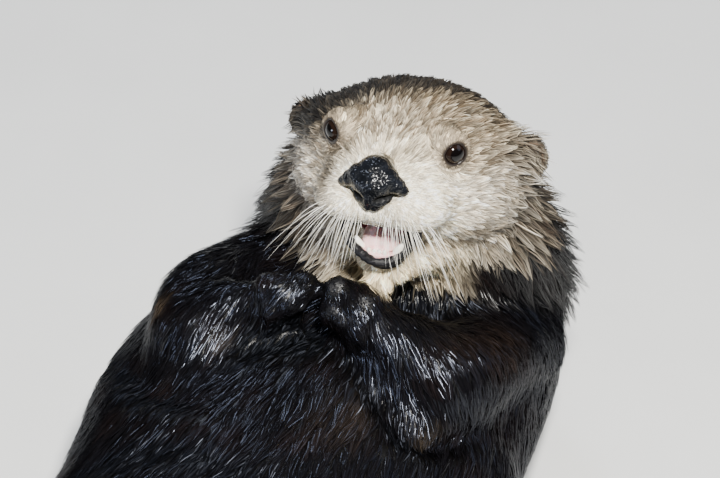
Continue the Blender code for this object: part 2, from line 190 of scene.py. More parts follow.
def hair_material(name, glint):
    """Keratin guard hairs, wet on the body and damp on the head. Wet hairs cling in locks that glint along their
    length, bluish on the black body, and the pale hairs of the head are duller and scatter more light."""
    made, tree, surface = new_material(name, IOR=1.34, Specular_Tint=rgba(glint))
    strand = add(tree, "Attribute", "Vector", {"attribute_name": "strand"})
    # A real hair is 0.1 mm across, which is too fine to show, so each tuft has two or three streaks 0.4 mm across.
    fine = add(tree, "TexNoise", "Fac", {"Scale": STREAKS, "Detail": 2.0}, Vector=strand)
    coated(tree, surface, fine, 0.72, 1.22, 0.62, 0.22)
    return made


def skin_material():
    """Hide under the coat: the same markings as the coat, darker and matt in the fur's depth, and bare wet skin on
    lips, paws and flippers. The hide has patches 4 mm across and a grain of 1 mm, and the bare pads 2 mm pebbles."""
    made, tree, surface = new_material("otter_hide", IOR=1.36)
    place = add(tree, "TexCoord", "Object")
    patch = add(tree, "TexNoise", "Fac", {"Scale": to_the_metre(3.85), "Detail": 4.0}, Vector=place)
    coated(tree, surface, patch, 0.75, 1.2, 0.92, 0.34)
    pebbly = add(tree, "Attribute", "Fac", {"attribute_name": "pebbly"})
    cells = add(tree, "TexVoronoi", "Distance", {"Scale": to_the_metre(1.92)}, Vector=place)
    pebbles = add(tree, "Math", "Value", {"operation": "MULTIPLY"}, i0=cells, i1=pebbly)
    grain = add(tree, "TexNoise", "Fac", {"Scale": to_the_metre(1.11), "Detail": 3.0}, Vector=place)
    height = add(tree, "Math", "Value", {"operation": "MULTIPLY_ADD", "Value_001": 0.5}, i0=grain, i2=pebbles)
    relief = add(tree, "Bump", "Normal", {"Distance": 0.0012, "Strength": 0.5}, Height=height)
    tree.links.new(relief, surface["Normal"])
    return made


def mottled(name, size, detail, dark, light, **values):
    """A finish that drifts from a dark to a light colour in blotches of a size in millimetres."""
    made, tree, surface = new_material(name, **values)
    place = add(tree, "TexCoord", "Object")
    mottle = add(tree, "TexNoise", "Fac", {"Scale": to_the_metre(size), "Detail": detail}, Vector=place)
    colour = add(tree, "ValToRGB", "Color", {"stops": [(0.3, dark), (0.7, light)]}, Fac=mottle)
    tree.links.new(colour, surface["Base Color"])
    return made, tree, surface, place, colour


def nose_material():
    """Rhinarium, the bare pad of the nose: black wet skin in a mesh of 1.4 mm pebbles that each catch the light, with
    blotches of 7 mm. Inside the nostrils it is dull and black, painted darker still as the shade in the holes."""
    made, tree, surface, place, base = mottled("nose_pad_skin", 7.1, 3.0, "#07080A", "#101217", IOR=1.35)
    pit = add(tree, "Attribute", "Fac", {"attribute_name": "pit"})
    dark = add(tree, "MapRange", "Result", {"To Min": 1.0, "To Max": 0.15}, Value=pit)
    tinted = add(tree, "VectorMath", "Vector", {"operation": "SCALE"}, i0=base, Scale=dark)
    tree.links.new(tinted, surface["Base Color"])
    rough = add(tree, "MapRange", "Result", {"To Min": 0.2, "To Max": 0.85}, Value=pit)
    tree.links.new(rough, surface["Roughness"])
    cells = add(tree, "TexVoronoi", "Distance", {"Scale": to_the_metre(1.43)}, Vector=place)
    relief = add(tree, "Bump", "Normal", {"Distance": 0.0008, "Strength": 0.5}, Height=cells)
    tree.links.new(relief, surface["Normal"])
    return made


def eye_material():
    """Eyeball: a dark brown iris round a black pupil under a wet clear cornea, which mirrors the lights."""
    made, tree, surface = new_material("wet_eye", Roughness=0.08, IOR=1.34)
    ring = add(tree, "Attribute", "Fac", {"attribute_name": "ring"})
    pupil, iris = [(0.0, "#050404"), (0.30, "#060404")], [(0.36, "#1A100B"), (0.62, "#120B08")]
    stops = [*pupil, *iris, (0.72, "#0A0707"), (1.0, "#15100E")]
    tree.links.new(add(tree, "ValToRGB", "Color", {"stops": stops}, Fac=ring), surface["Base Color"])
    return made


def tongue_material():
    """Tongue and gum: wet pink muscle with a velvet of 0.7 mm papillae, paler in blotches of 6 mm."""
    wetness = {"Roughness": 0.28, "Subsurface_Weight": 0.15, "Subsurface_Scale": 0.004}
    made, tree, surface, place, _ = mottled("tongue_flesh", 5.6, 3.0, "#F0AFAF", "#FFE2DD", **wetness)
    cells = add(tree, "TexVoronoi", "Distance", {"Scale": to_the_metre(0.71)}, Vector=place)
    relief = add(tree, "Bump", "Normal", {"Distance": 0.0004, "Strength": 0.5}, Height=cells)
    tree.links.new(relief, surface["Normal"])
    return made


HIDE = skin_material()
DAMP_HAIR = hair_material("damp_pale_hair", "#FFFFFF")
WET_HAIR = hair_material("wet_guard_hair", "#DCE6FF")
NOSE_PAD = nose_material()
WET_EYE = eye_material()
TONGUE_FLESH = tongue_material()
# Enamel: hard glossy ivory, a little yellower in blotches of 3 mm.
ENAMEL = mottled("tooth_enamel", 3.3, 2.0, "#F3ECD8", "#FFFDF5", Roughness=0.18)[0]
# Claw keratin: horn brown in streaks of 1.4 mm, with a dull polish.
CLAW_KERATIN = mottled("claw_keratin", 1.43, 3.0, "#1C1512", "#4A3A2E", Roughness=0.35)[0]
# Whiskers: stiff white bristles, smooth enough to shine, that yellow a little every 5 mm.
BRISTLE = mottled("whisker_bristle", 4.5, 2.0, "#E9E4D6", "#FFFDF6", Roughness=0.3)[0]
# Studio floor: pale matt board with a barely seen mottle of 110 mm.
BOARD = mottled("studio_board", 111, 3.0, "#D9DAD8", "#DEDFDD", Roughness=0.8)[0]

# ---------------------------------------------------------------- meshes


def link(name, mesh, surface=None):
    made = bpy.data.objects.new(name, mesh)
    bpy.context.scene.collection.objects.link(made)
    if surface:
        mesh.materials.append(surface)
    return made


def poured(clay, name):
    """A bmesh as a mesh, which uses the bmesh up."""
    mesh = bpy.data.meshes.new(name)
    clay.to_mesh(mesh)
    clay.free()
    return mesh


def mesh_of(name, points, triangles):
    """A smooth mesh from arrays of points and triangles."""
    mesh = bpy.data.meshes.new(name)
    mesh.vertices.add(len(points))
    mesh.vertices.foreach_set("co", np.ascontiguousarray(points, np.float32).ravel())
    mesh.loops.add(3 * len(triangles))
    mesh.loops.foreach_set("vertex_index", np.ascontiguousarray(triangles, np.int32).ravel())
    mesh.polygons.add(len(triangles))
    mesh.polygons.foreach_set("loop_start", np.arange(0, 3 * len(triangles), 3, dtype=np.int32))
    smooth(mesh)
    mesh.update(calc_edges=True)
    return mesh


def smooth(mesh):
    mesh.polygons.foreach_set("use_smooth", np.ones(len(mesh.polygons), bool))


def give(mesh, name, values):
    """Stores one value, vector or colour for each point."""
    kinds = {1: ("FLOAT", "value"), 3: ("FLOAT_VECTOR", "vector"), 4: ("FLOAT_COLOR", "color")}
    kind, field = kinds[np.size(values[0])]
    layer = mesh.attributes.new(name, kind, "POINT")
    layer.data.foreach_set(field, np.ascontiguousarray(values, np.float32).ravel())


def give_colour(mesh, colours):
    give(mesh, "coat", np.hstack([np.clip(colours, 0, 1), np.ones((len(colours), 1))]))


def rows_of(things, field, width, kind=np.float32):
    """One field of a mesh's points, edges or triangles, as an array's rows."""
    values = np.empty(width * len(things), kind)
    things.foreach_get(field, values)
    return values.reshape(-1, width)


def points_of(mesh):
    return rows_of(mesh.vertices, "co", 3).astype(float)


def normals_of(mesh):
    return rows_of(mesh.vertex_normals, "vector", 3).astype(float)


def edges_of(mesh):
    return rows_of(mesh.edges, "vertices", 2, np.int32)


def triangles_of(mesh):
    mesh.calc_loop_triangles()
    return rows_of(mesh.loop_triangles, "vertices", 3, np.int32)


def put_points(mesh, points):
    mesh.vertices.foreach_set("co", points.astype(np.float32).ravel())
    mesh.update()


def pushed(points, directions, amounts):
    """Points moved along directions by so many millimetres each."""
    return points + directions * (amounts * MM)[:, None]


def relaxed(values, edges, rounds, share=0.5):
    """Each point's value, or place, drawn towards the mean of its neighbours'."""
    count = len(values)
    degree = np.maximum(np.bincount(edges.ravel(), minlength=count), 1)
    flat = values.reshape(count, -1)
    for _ in range(rounds):
        mean = np.empty_like(flat)
        for k in range(flat.shape[1]):
            column = flat[:, k]
            mean[:, k] = np.bincount(edges[:, 0], column[edges[:, 1]], count)
            mean[:, k] += np.bincount(edges[:, 1], column[edges[:, 0]], count)
        mean /= degree[:, None]
        amount = share if np.ndim(share) == 0 else np.asarray(share)[:, None]
        flat = flat + (mean - flat) * amount
    return flat.reshape(values.shape)


def ball(clay, centre, radii, tilt=0.0, detail=3):
    """Adds an ellipsoid to a bmesh, in millimetres and degrees of the head's frame."""
    turn = Matrix.Rotation(math.radians(tilt), 4, "X")
    place = Matrix.Translation(Vector(centre) * MM) @ turn @ Matrix.Diagonal((*(Vector(radii) * MM), 1))
    bmesh.ops.create_icosphere(clay, subdivisions=detail, radius=1, matrix=HEAD @ place)


def remeshed(clay, name, voxel):
    """A bmesh's overlapping forms fused into one skin of even quads."""
    made = link(name, poured(clay, name))
    fuse = made.modifiers.new("fuse", "REMESH")
    fuse.mode = "VOXEL"
    fuse.voxel_size = voxel
    graph = bpy.context.evaluated_depsgraph_get()
    mesh = bpy.data.meshes.new_from_object(made.evaluated_get(graph))
    made.modifiers.clear()
    made.data = mesh
    return made


def line_reach(points, line):
    """Distance to a line of points, and the offset from its nearest point."""
    best = np.full(len(points), 1e9)
    offset = np.zeros_like(points)
    for start, end in zip(line, line[1:]):
        start, along = np.array(start, float), np.array(end, float) - np.array(start, float)
        t = np.clip((points - start) @ along / (along @ along), 0, 1)
        away = points - (start + t[:, None] * along)
        reach = np.linalg.norm(away, axis=1)
        closer = reach < best
        best[closer], offset[closer] = reach[closer], away[closer]
    return best, offset


def ellipse_reach(points, centre, radii, tilt=0.0):
    """How far out points lie in an ellipsoid's terms: 1 on its surface."""
    offset = points - np.array(centre)
    if tilt:
        offset = offset @ np.array(Matrix.Rotation(math.radians(tilt), 3, "X"))
    return np.linalg.norm(offset / np.array(radii), axis=-1)


# ---------------------------------------------------------------- skin

FLESH = ["head", "neck", "chest", "belly", "tail"]
for word in SIDES.values():
    FLESH += [part + "_" + word for part in ("ear", "upper_arm", "forearm", "paw", "leg", "flipper")]
SKIN_VOXEL = 0.0028
SEAM_CLOSING = 0.0006  # the solids are parted by thin cuts, which this closes


def flesh_clay():
    """All the flesh solids in one bmesh, each grown a hair so that the cuts between them close."""
    clay = bmesh.new()
    labels = []
    for index, name in enumerate(FLESH):
        own = bmesh.new()
        own.from_mesh(NODES[name].data)
        bmesh.ops.remove_doubles(own, verts=own.verts, dist=1e-6)
        own.normal_update()
        for vertex in own.verts:
            vertex.co += vertex.normal * SEAM_CLOSING
        labels += [index] * len(own.faces)
        mesh = poured(own, "own")
        clay.from_mesh(mesh)
        bpy.data.meshes.remove(mesh)
    return clay, np.array(labels)


def in_detail(places):
    """Where the skin needs a finer mesh: the front of the face, and the paws."""
    q, b = local(places, HEAD), local(places, BODY)
    face = (q[:, 1] < 26) & (q[:, 2] < 34) & (q[:, 2] > -92) & (np.abs(q[:, 0]) < 62)
    return face | (ellipse_reach(b, (-14, -52, 206), (56, 36, 30)) < 1)


def refine(mesh):
    """Halves the quads of the skin where the detail is."""
    clay = bmesh.new()
    clay.from_mesh(mesh)
    clay.faces.ensure_lookup_table()
    fine = in_detail(np.array([face.calc_center_median() for face in clay.faces]))
    edges = {edge for index in np.flatnonzero(fine) for edge in clay.faces[index].edges}
    bmesh.ops.subdivide_edges(clay, edges=list(edges), cuts=1, use_grid_fill=True)
    bmesh.ops.triangulate(clay, faces=[face for face in clay.faces if len(face.verts) > 4])
    clay.to_mesh(mesh)
    clay.free()


def skin_base():
    """The skin before it is drawn in: its points and edges, and each point's share of each solid."""
    clay, labels = flesh_clay()
    finder = BVHTree.FromBMesh(clay)
    made = remeshed(clay, "skin", SKIN_VOXEL)
    refine(made.data)
    points, edges = points_of(made.data), edges_of(made.data)
    nearest = np.array([finder.find_nearest(Vector(p))[2] for p in points])
    shares = relaxed(np.eye(len(FLESH))[labels[nearest]], edges, 6)
    return made, points, edges, dict(zip(FLESH, shares.T))


skin, FUSED, EDGES, SHARE = skin_base()

NOSE_MIDDLE = -1.2  # the nose's own middle lies this far to the right of the head's
NOSE_TIP = np.array([NOSE_MIDDLE, -36.0, -14.0])
MOUTH = {"centre": (-2, -6, -56), "radii": (19, 40, 13), "tilt": 14}
LOWER_LIP = [(-20, 2, -56), (-14, -11, -66.5), (-1, -17, -71), (11, -11, -68), (15, 3, -59)]
UPPER_LIP = [(-20, 2, -56), (-20, -10, -48), (-12, -20, -43), (0, -22, -42.5), (10, -17, -45), (17, 2, -57)]
UNDER_CHEEK = [(8, -8, 184), (30, 0, 180), (60, 6, 174), (92, 14, 166)]  # in the body's frame, as all below are

# Loose skin rolls up below the folded arms: each furrow's bottom as a line, its depth and width in millimetres, and
# how high the roll on its tail side is.
UNDER_LEFT_ARM = [(2, -64, 186), (16, -78, 184), (34, -93, 178), (52, -108, 170)]
UNDER_LEFT_ARM += [(72, -98, 166), (88, -80, 162), (104, -48, 155), (112, -6, 145)]
FURROWS = [
    (UNDER_LEFT_ARM, 8.0, 7.0, 0.4),
    ([(-148, -70, 128), (-130, -104, 152), (-104, -128, 168), (-70, -134, 178)], 6.0, 8.0, 0.6),
    ([(-62, -78, 180), (-54, -68, 182), (-41, -59, 174), (-28, -50, 178)], 11.0, 12.0, 0.0),
    ([(-120, -190, 150), (-70, -170, 172), (-10, -176, 176), (40, -200, 172)], 6.0, 14.0, 0.8),
    ([(40, -170, 172), (80, -150, 160), (120, -128, 140)], 6.0, 12.0, 0.8),
]

# Knuckles and finger pads that stand up on the wet paws: place, width and height.
KNUCKLES = [
    ((-47.0, -71.0, 201), 3.6, 2.2),
    ((-41.0, -69.0, 200), 3.4, 2.4),
    ((-35.7, -64.3, 199), 3.4, 2.6),
    ((-32.3, -56.8, 202), 3.6, 2.6),
    ((-30.0, -48.0, 206), 3.4, 2.4),
    ((-39.0, -61.0, 207), 3.0, 1.6),
    ((-18.2, -50.5, 219), 3.8, 2.2),
    ((-14.6, -44.0, 221), 3.4, 1.8),
    ((-12.5, -59.9, 211), 3.8, 3.0),
    ((-6.0, -66.0, 207), 3.4, 2.2),
    ((4.0, -50.0, 218), 4.0, 1.4),
]

GAZE = {side: turned(unit(np.array([0.66 * side, -0.75, 0.06])), HEAD) for side in SIDES}
LIDS_REACH = 13.0  # how far out the lids' skin goes from the eye's axis before it joins the skin of the face


def seen_from_eye(points, side):
    """How far points are from an eye's centre, ahead of it along its gaze, and aside from that, in millimetres."""
    from_eye = points - np.array(EYE_CENTRES[side])
    reach = np.linalg.norm(from_eye, axis=1) / MM
    ahead = from_eye @ GAZE[side] / MM
    return reach, ahead, np.sqrt(np.maximum(reach**2 - ahead**2, 0))


def face_regions(part, q, share):
    """The regions of the face: muzzle, lips, mouth, chin and the bed of the nose."""
    x, y, z = q.T
    part["muzzle"] = fade(0.8, 1.2, ellipse_reach(q, (0, -18, -27), (38, 28, 26)))
    part["face"] = fade(0.85, 1.3, ellipse_reach(q, (0, -8, -26), (56, 40, 44)))
    mouth = ellipse_reach(q, MOUTH["centre"], MOUTH["radii"], MOUTH["tilt"])
    part["mouth"] = fade(1.12, 1.2, mouth) * share["head"]
    rim = fade(1.26, 1.36, mouth) * smooth_step(1.04, 1.12, mouth) * fade(0, 8, y)
    lower, upper = (line_reach(q, line)[0] for line in (LOWER_LIP, UPPER_LIP))
    part["lip"] = np.clip(fade(6.4, 8.0, lower) + fade(2.2, 4.2, upper) + 0.8 * rim, 0, 1) * share["head"]
    part["mouth_edge"] = fade(7, 20, np.minimum(lower, upper + 2))
    part["nose_bed"] = fade(0.95, 1.1, ellipse_reach(q, (NOSE_MIDDLE, -28, -13), (15.5, 14, 11.5)))
    part["chin"] = smooth_step(-64, -76, z) * fade(26, 46, y) * fade(40, 60, np.abs(x))


def regions(points, share):
    """How strongly each point belongs to each region of the coat, from 0 to 1, and its places in both frames."""
    q, b = local(points, HEAD), local(points, BODY)
    x, y, z = q.T
    part = {name: share[name + "_left"] + share[name + "_right"] for name in ("paw", "ear", "flipper", "leg")}
    part["arm"] = sum(share[name] for name in share if "arm" in name)
    part["tail"], part["neck"] = share["tail"], share["neck"]
    part["head"] = np.clip(share["head"] + part["ear"] + 0.35 * share["neck"], 0, 1)
    face_regions(part, q, share)
    trunk = np.clip(1 - part["arm"] - part["paw"] - part["leg"] - part["flipper"], 0, 1)

    # The pale coat of the head ends in a ragged edge, lower at the left, with a pale throat beyond it.
    pale = fade(0.98, 1.2, ellipse_reach(q, (2, 30, -28), (97, 92, 81)) + 0.05 * ripple(points, 0.02, 3))
    low = smooth_step(-74, -88, z) * smooth_step(24, 48, x)
    low = np.maximum(low, smooth_step(-87, -97, z + 0.35 * np.maximum(y, 0)))
    on_head = np.clip(share["head"] + share["neck"] + part["ear"] + 0.2 * trunk, 0, 1)
    throat = 0.72 * fade(0.8, 1.15, ellipse_reach(q, (-27, 30, -101), (30, 18, 15)))
    throat = throat * trunk * np.clip(1 + 0.4 * ripple(points, 0.02, 9), 0, 1.2)
    part["pale"] = np.maximum(pale * (1 - low) * on_head, throat)

    part["eye_bed"] = part["lids"] = part["round_eyes"] = 0
    for side in SIDES:
        reach, _, aside = seen_from_eye(points, side)
        part["eye_bed"] = part["eye_bed"] + fade(LIDS_REACH - 1, LIDS_REACH, aside) * (reach < 24)
        part["round_eyes"] = part["round_eyes"] + smooth_step(8, 11, reach) * fade(20, 28, reach)
        part["lids"] = part["lids"] + fade(9, 13, reach)
    part["pads"] = np.max([fade(0.9, 1.5, ellipse_reach(b, place, wide)) for place, wide, _ in KNUCKLES], axis=0)

    # Little light reaches the bottoms of the furrows, the hollow between the paws and the skin under the cheek.
    creases = [
        bell(line_reach(b, line)[0], 1.3 * width, 4) * min(1, depth / 9) for line, depth, width, _ in FURROWS
    ]
    crease = np.max(creases, axis=0) * np.clip(1 - part["arm"] - part["paw"], 0, 1)
    hollow = fade(1.0, 1.35, ellipse_reach(b, (-43, -60, 182), (27, 18, 13)))
    under_cheek = 0.75 * bell(line_reach(b, UNDER_CHEEK)[0], 15.0, 4) * trunk * (1 - part["head"])
    part["shade"] = np.maximum(np.maximum(crease, hollow), under_cheek)
    return part, q, b


# How deep the coat is over each region, in millimetres, each laid over those before it.
COAT_DEPTH = 8.0
COAT_DEPTHS = {"arm": 6.0, "tail": 5.0, "leg": 6.0, "neck": 6.5, "head": 4.5, "face": 2.4, "muzzle": 1.5}


def coat_depth(part):
    depth = np.full(len(part["head"]), COAT_DEPTH)
    for name, value in COAT_DEPTHS.items():
        depth = mix(depth, value, part[name])
    depth = mix(depth, 0.8, np.clip(part["paw"] + part["lip"] + part["mouth"], 0, 1))
    return mix(depth, 0.3, np.clip(part["ear"] + part["flipper"], 0, 1))


def fold_skin(points, normals, b, part):
    """Pulls the furrows in and pushes up the roll on each one's tail side."""
    trunk = np.clip(1 - 1.6 * (part["arm"] + part["paw"] + part["head"]), 0, 1)
    for line, depth, width, height in FURROWS:
        reach, offset = line_reach(b, line)
        tailward = -offset[:, 1] - 0.3 * np.abs(offset[:, 0])
        roll = height * bell(tailward - 2 * width, 11.0) * bell(reach, 26.0)
        points = pushed(points, normals, (roll - bell(reach, width)) * depth * trunk)
    return points


def raise_knuckles(points, normals):
    b = local(points, BODY)
    for place, reach, height in KNUCKLES:
        away = ellipse_reach(b, place, reach)
        pebble = 0.45 * ripple(points, 0.0034, 91) * (away < 1.6)
        points = pushed(points, normals, (height + pebble) * bell(away, 1))
    return points


def shape_skin():
    """Softens the fused solids, draws them in by the coat's depth, and folds and raises what is left."""
    mesh = skin.data
    part, _, _ = regions(FUSED, SHARE)
    firm = np.clip(part["ear"] + part["flipper"] + part["lip"] + part["mouth"] + part["nose_bed"], 0, 1)
    soft = 0.6 * (1 - firm) * (1 - 0.75 * part["face"]) * (1 - 0.5 * part["paw"])
    soft = np.maximum(soft, 0.6 * np.clip(part["round_eyes"], 0, 1))
    points = relaxed(FUSED, EDGES, 24, soft)
    put_points(mesh, points)
    part, _, b = regions(points, SHARE)
    normals = relaxed(normals_of(mesh), EDGES, 3)
    points = relaxed(pushed(points, normals, -coat_depth(part)), EDGES, 4, soft)
    points = fold_skin(points, normals, b, part)
    points = pushed(points, normals, 1.1 * part["lip"])  # the lips' edge rolls out a little
    points = raise_knuckles(points, normals)
    for side in SIDES:  # the skin draws back behind the lids
        _, ahead, aside = seen_from_eye(points, side)
        back = 5.0 * fade(LIDS_REACH - 3.5, LIDS_REACH - 0.8, aside) * (np.abs(ahead) < 22)
        points = pushed(points, GAZE[side], -back)
    points[:, 2] = np.maximum(points[:, 2], 0.6 * MM)
    put_points(mesh, points)
    return points, part


PAW_HIDE = linear("#101013")
FLIPPER_HIDE = linear("#0F0C0B")
EAR_HIDE = linear("#5A4A3C")
MOUTH_RED = linear("#4A1518")
LIP_BLACK = linear("#0F0E11")
NOSE_BLACK = linear("#0B0C0F")
LID_BROWN = linear("#6E5F4E")
LID_EDGE = linear("#17100D")

# Patches of brown and tan in the dark coat, in the body's frame: place, radius in millimetres, colour and strength.
PATCHES = [
    ((81, -20, 191), 24, "#281F19", 0.8),
    ((60, -45, 207), 15, "#281F19", 0.6),
    ((17, -105, 188), 20, "#2E2620", 0.7),
    ((64, -93, 172), 9, "#5E5242", 0.7),
    ((-120, -60, 180), 8, "#6B5B48", 0.7),
    ((-72, -80, 190), 8, "#4A4239", 0.5),
]


def head_washes(q, mottle):
    """The markings of the head, with painted shade on its side away from the light, in the order they are laid: where,
    then a colour and its share at the roots, and a colour and its share at the tips."""
    x, y, z = q.T
    wide = np.abs(x)
    outer = smooth_step(0.92, 1.3, ellipse_reach(q, (4, -14, -34), (44, 36, 33)) + 0.06 * mottle)
    under_jaw = smooth_step(-62, -84, z) * fade(18, 40, y)
    pale_brow = bell(x + 4, 17.0) * bell(z - 6, 15.0) * (y < 30)
    mask = smooth_step(-20, 10, z + 0.12 * wide) * smooth_step(-36, -8, y) * (1 - 0.8 * pale_brow)
    cheek = smooth_step(44, 70, wide) * smooth_step(-8, 24, y)
    # The crown is dark, and it reaches further forward on the animal's right, the side away from the light: that skew
    # is painted shade.
    crown = smooth_step(24, 48, y - 0.45 * x) * smooth_step(-34, -16, z)
    jowl = smooth_step(34, 50, wide) * smooth_step(-8, -28, z) * fade(22, 48, y)
    nape, low_nape = smooth_step(38, 92, y), smooth_step(84, 120, y + 0.5 * wide)
    collar = smooth_step(-44, -80, z) * smooth_step(52, 74, wide) * smooth_step(14, 44, y)
    painted_shade_beside_nose = bell(x + 27, 8.5) * bell(z + 2, 6.5)  # painted shade between the nose and the right eye, on the side away from the light
    # Painted golden-brown shade along the right side of the muzzle, away from the light.
    golden_painted_shade = bell(x + 32, 6.5) * bell(z + 18, 13.0) * (y < 10)
    return [
        (outer * (1 - under_jaw), "#7E6E59", 1, "#F0E4CC", 1),
        (under_jaw, "#EBD3A4", 0.8, "#F8E2B4", 0.7),
        (mask, "#524432", 0.85 + 0.25 * mottle, "#CBBB9E", 0.8 + 0.25 * mottle),
        (cheek, "#54473A", 0.85, "#F2E7CF", 0.7),
        (crown, "#14110E", 0.95, "#3C362D", 0.95),
        (jowl, "#A89A84", 0.8, "#FFF8EA", 0.8),
        (nape, "#1C1510", 0.9, "#75644E", 0.8 + 0.3 * mottle),
        (painted_shade_beside_nose, "#231C15", 0.65, "#3C332A", 0.65),
        (low_nape, "#1C1510", 0, "#352A20", 0.85),
        (collar, "#15100C", 0.8, "#4F4336", 0.75),
        (golden_painted_shade, "#2A2012", 0.88, "#46361D", 0.88),
    ]


def coat_colours(points, part, q):
    """The coat's colour at its roots and at its tips."""
    b = local(points, BODY)
    mottle = ripple(points, 0.035, 5)
    root, tip = linear("#F6E6C6"), linear("#FFF8E8")
    for where, at_root, root_share, at_tip, tip_share in head_washes(q, mottle):
        root = mix(root, linear(at_root), np.clip(where * root_share, 0, 1))
        tip = mix(tip, linear(at_tip), np.clip(where * tip_share, 0, 1))
    ear = (part["ear"] * (1 - 0.8 * smooth_step(2, 14, q[:, 2] - 0.2 * np.abs(q[:, 0]))))[:, None]
    root, tip = root * (1 - 0.5 * ear), tip * (1 - 0.35 * ear)
    lids = np.clip(part["lids"], 0, 1)
    root = mix(mix(root, tip, lids), LID_BROWN, 0.75 * lids)
    tip = mix(tip, LID_BROWN, 0.75 * lids)

    dark_root = linear("#060505")
    dark_tip = mix(linear("#0C0B0E"), linear("#1D1411"), np.clip(0.45 * mottle, 0, 1))
    broken = np.clip(0.75 + 0.5 * ripple(points, 0.01, 8), 0, 1)
    for place, reach, colour, strength in PATCHES:
        spot = strength * bell(ellipse_reach(b, place, reach), 1, 3) * broken
        dark_tip = mix(dark_tip, linear(colour), spot)
        dark_root = mix(dark_root, linear(colour) * 0.35, spot)
    dim = (1 - 0.95 * part["shade"])[:, None]
    root = mix(dark_root * dim, root, part["pale"])
    tip = mix(dark_tip * dim, tip, part["pale"] ** 1.3)
    fine = ripple(points, 0.012, 6)[:, None]
    return root * (1 + 0.12 * fine), tip * (1 + 0.10 * fine)


def paint_skin(mesh, points, part):
    root, _ = coat_colours(points, part, local(points, HEAD))
    colour = root * (1 - 0.35 * part["pale"])[:, None]
    bare = [
        (PAW_HIDE, part["pads"]),
        (FLIPPER_HIDE, part["flipper"]),
        (EAR_HIDE, 0.8 * part["ear"]),
        (MOUTH_RED, part["mouth"]),
        (LIP_BLACK, np.clip(part["lip"] * 1.4, 0, 1)),
        (NOSE_BLACK, part["nose_bed"]),
    ]
    for hide, share in bare:
        colour = mix(colour, hide, share)
    wet = 1 - part["pale"] + part["lip"] + part["mouth"] - 0.3 * part["pads"] - 0.95 * part["flipper"]
    give_colour(mesh, colour)
    give(mesh, "wet", np.clip(wet, 0, 1))
    give(mesh, "pebbly", np.clip(part["pads"] + 0.3 * part["lip"], 0, 1))


SKIN_POINTS, SKIN_PART = shape_skin()
paint_skin(skin.data, SKIN_POINTS, SKIN_PART)
skin.data.materials.append(HIDE)
smooth(skin.data)

# ---------------------------------------------------------------- eyes, nose, mouth, whiskers and claws

PIECES = [skin]
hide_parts(*FLESH)
SKIN_FINDER = BVHTree.FromPolygons(
    [Vector(p) for p in SKIN_POINTS], [tuple(face.vertices) for face in skin.data.polygons]
)


def keep(piece, slot, *nodes):
    PIECES.append(piece)
    if nodes:
        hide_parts(*nodes)
    return piece


EYE_RADIUS = 8.3
EYE_SUNK = 1.6  # deeper than the solid eyes, behind the lids


def eye_frame(side):
    """The eyeball's centre, and its gaze, the animal's left and up as the eye has them."""
    gaze = GAZE[side]
    out = unit(np.cross(turned(np.array([0.0, 0.0, 1.0]), HEAD), gaze))
    return np.array(EYE_CENTRES[side]) - gaze * EYE_SUNK * MM, gaze, out, np.cross(gaze, out)


def build_eyeball(side):
    clay = bmesh.new()
    bmesh.ops.create_uvsphere(clay, u_segments=64, v_segments=48, radius=EYE_RADIUS * MM)
    mesh = poured(clay, "eyeball_" + SIDES[side])
    points = points_of(mesh)
    centre, gaze, out, up = eye_frame(side)
    angle = np.arccos(np.clip(points[:, 2] / (EYE_RADIUS * MM), -1, 1))
    bulge = 1 + 0.05 * bell(angle, 0.55)  # the cornea
    put_points(mesh, centre + (points @ np.array([out, up, gaze])) * bulge[:, None])
    give(mesh, "ring", np.clip(angle / (math.pi / 2), 0, 1))
    smooth(mesh)
    keep(link(mesh.name, mesh, WET_EYE), "eye", "eye_" + SIDES[side])


def walls(rings, sides):
    """The triangles of a tube's wall through so many rings of points, facing out."""
    triangles = []
    for a in range((rings - 1) * sides):
        b = a + 1 if (a + 1) % sides else a + 1 - sides
        triangles += [(a, b, a + sides), (b, b + sides, a + sides)]
    return triangles


LID_STEPS = 72
LID_OPENING = 50  # degrees from the gaze to the lids' edge
OUTER_CORNERS = {LEFT: 5, RIGHT: 18}  # degrees by which the lids close over the eye there
LID_RINGS = [  # degrees from the lid's edge, and distance from the eye's centre in millimetres
    (-1.5, 8.35),
    (-2.0, 8.9),
    (0.5, 9.5),
    (6.0, 10.0),
    (14.0, 10.6),
    (24.0, 11.3),
]
LID_JOIN = [(0.33, 0.5), (0.67, 0.4), (1.0, -0.4)]  # share of the way to the skin, and millimetres proud of it
LID_SHADES = [0, 0, 0.05, 0.25, 0.65, 0.9, 1, 1, 1]  # from the dark moist edge out to the hide, for each ring
LID_BARE = [1, 1, 0.8, 0, 0, 0, 0, 0, 0]  # where no hair grows


def skin_round_eye(centre, gaze, spoke):
    """The ring of places where the lids meet the skin of the face."""
    rim = []
    for point in centre + spoke * LIDS_REACH * MM + gaze * 30 * MM:
        place, normal, _, _ = SKIN_FINDER.ray_cast(Vector(point), Vector(-gaze))
        rim.append(np.array(place - normal * 0.5 * MM))
    rim = np.array(rim)
    return rim * 0.4 + 0.3 * (np.roll(rim, 1, axis=0) + np.roll(rim, -1, axis=0))


def all_head(count):
    """Shares of the solids for points that all belong to the head."""
    return {name: np.full(count, float(name == "head")) for name in FLESH}


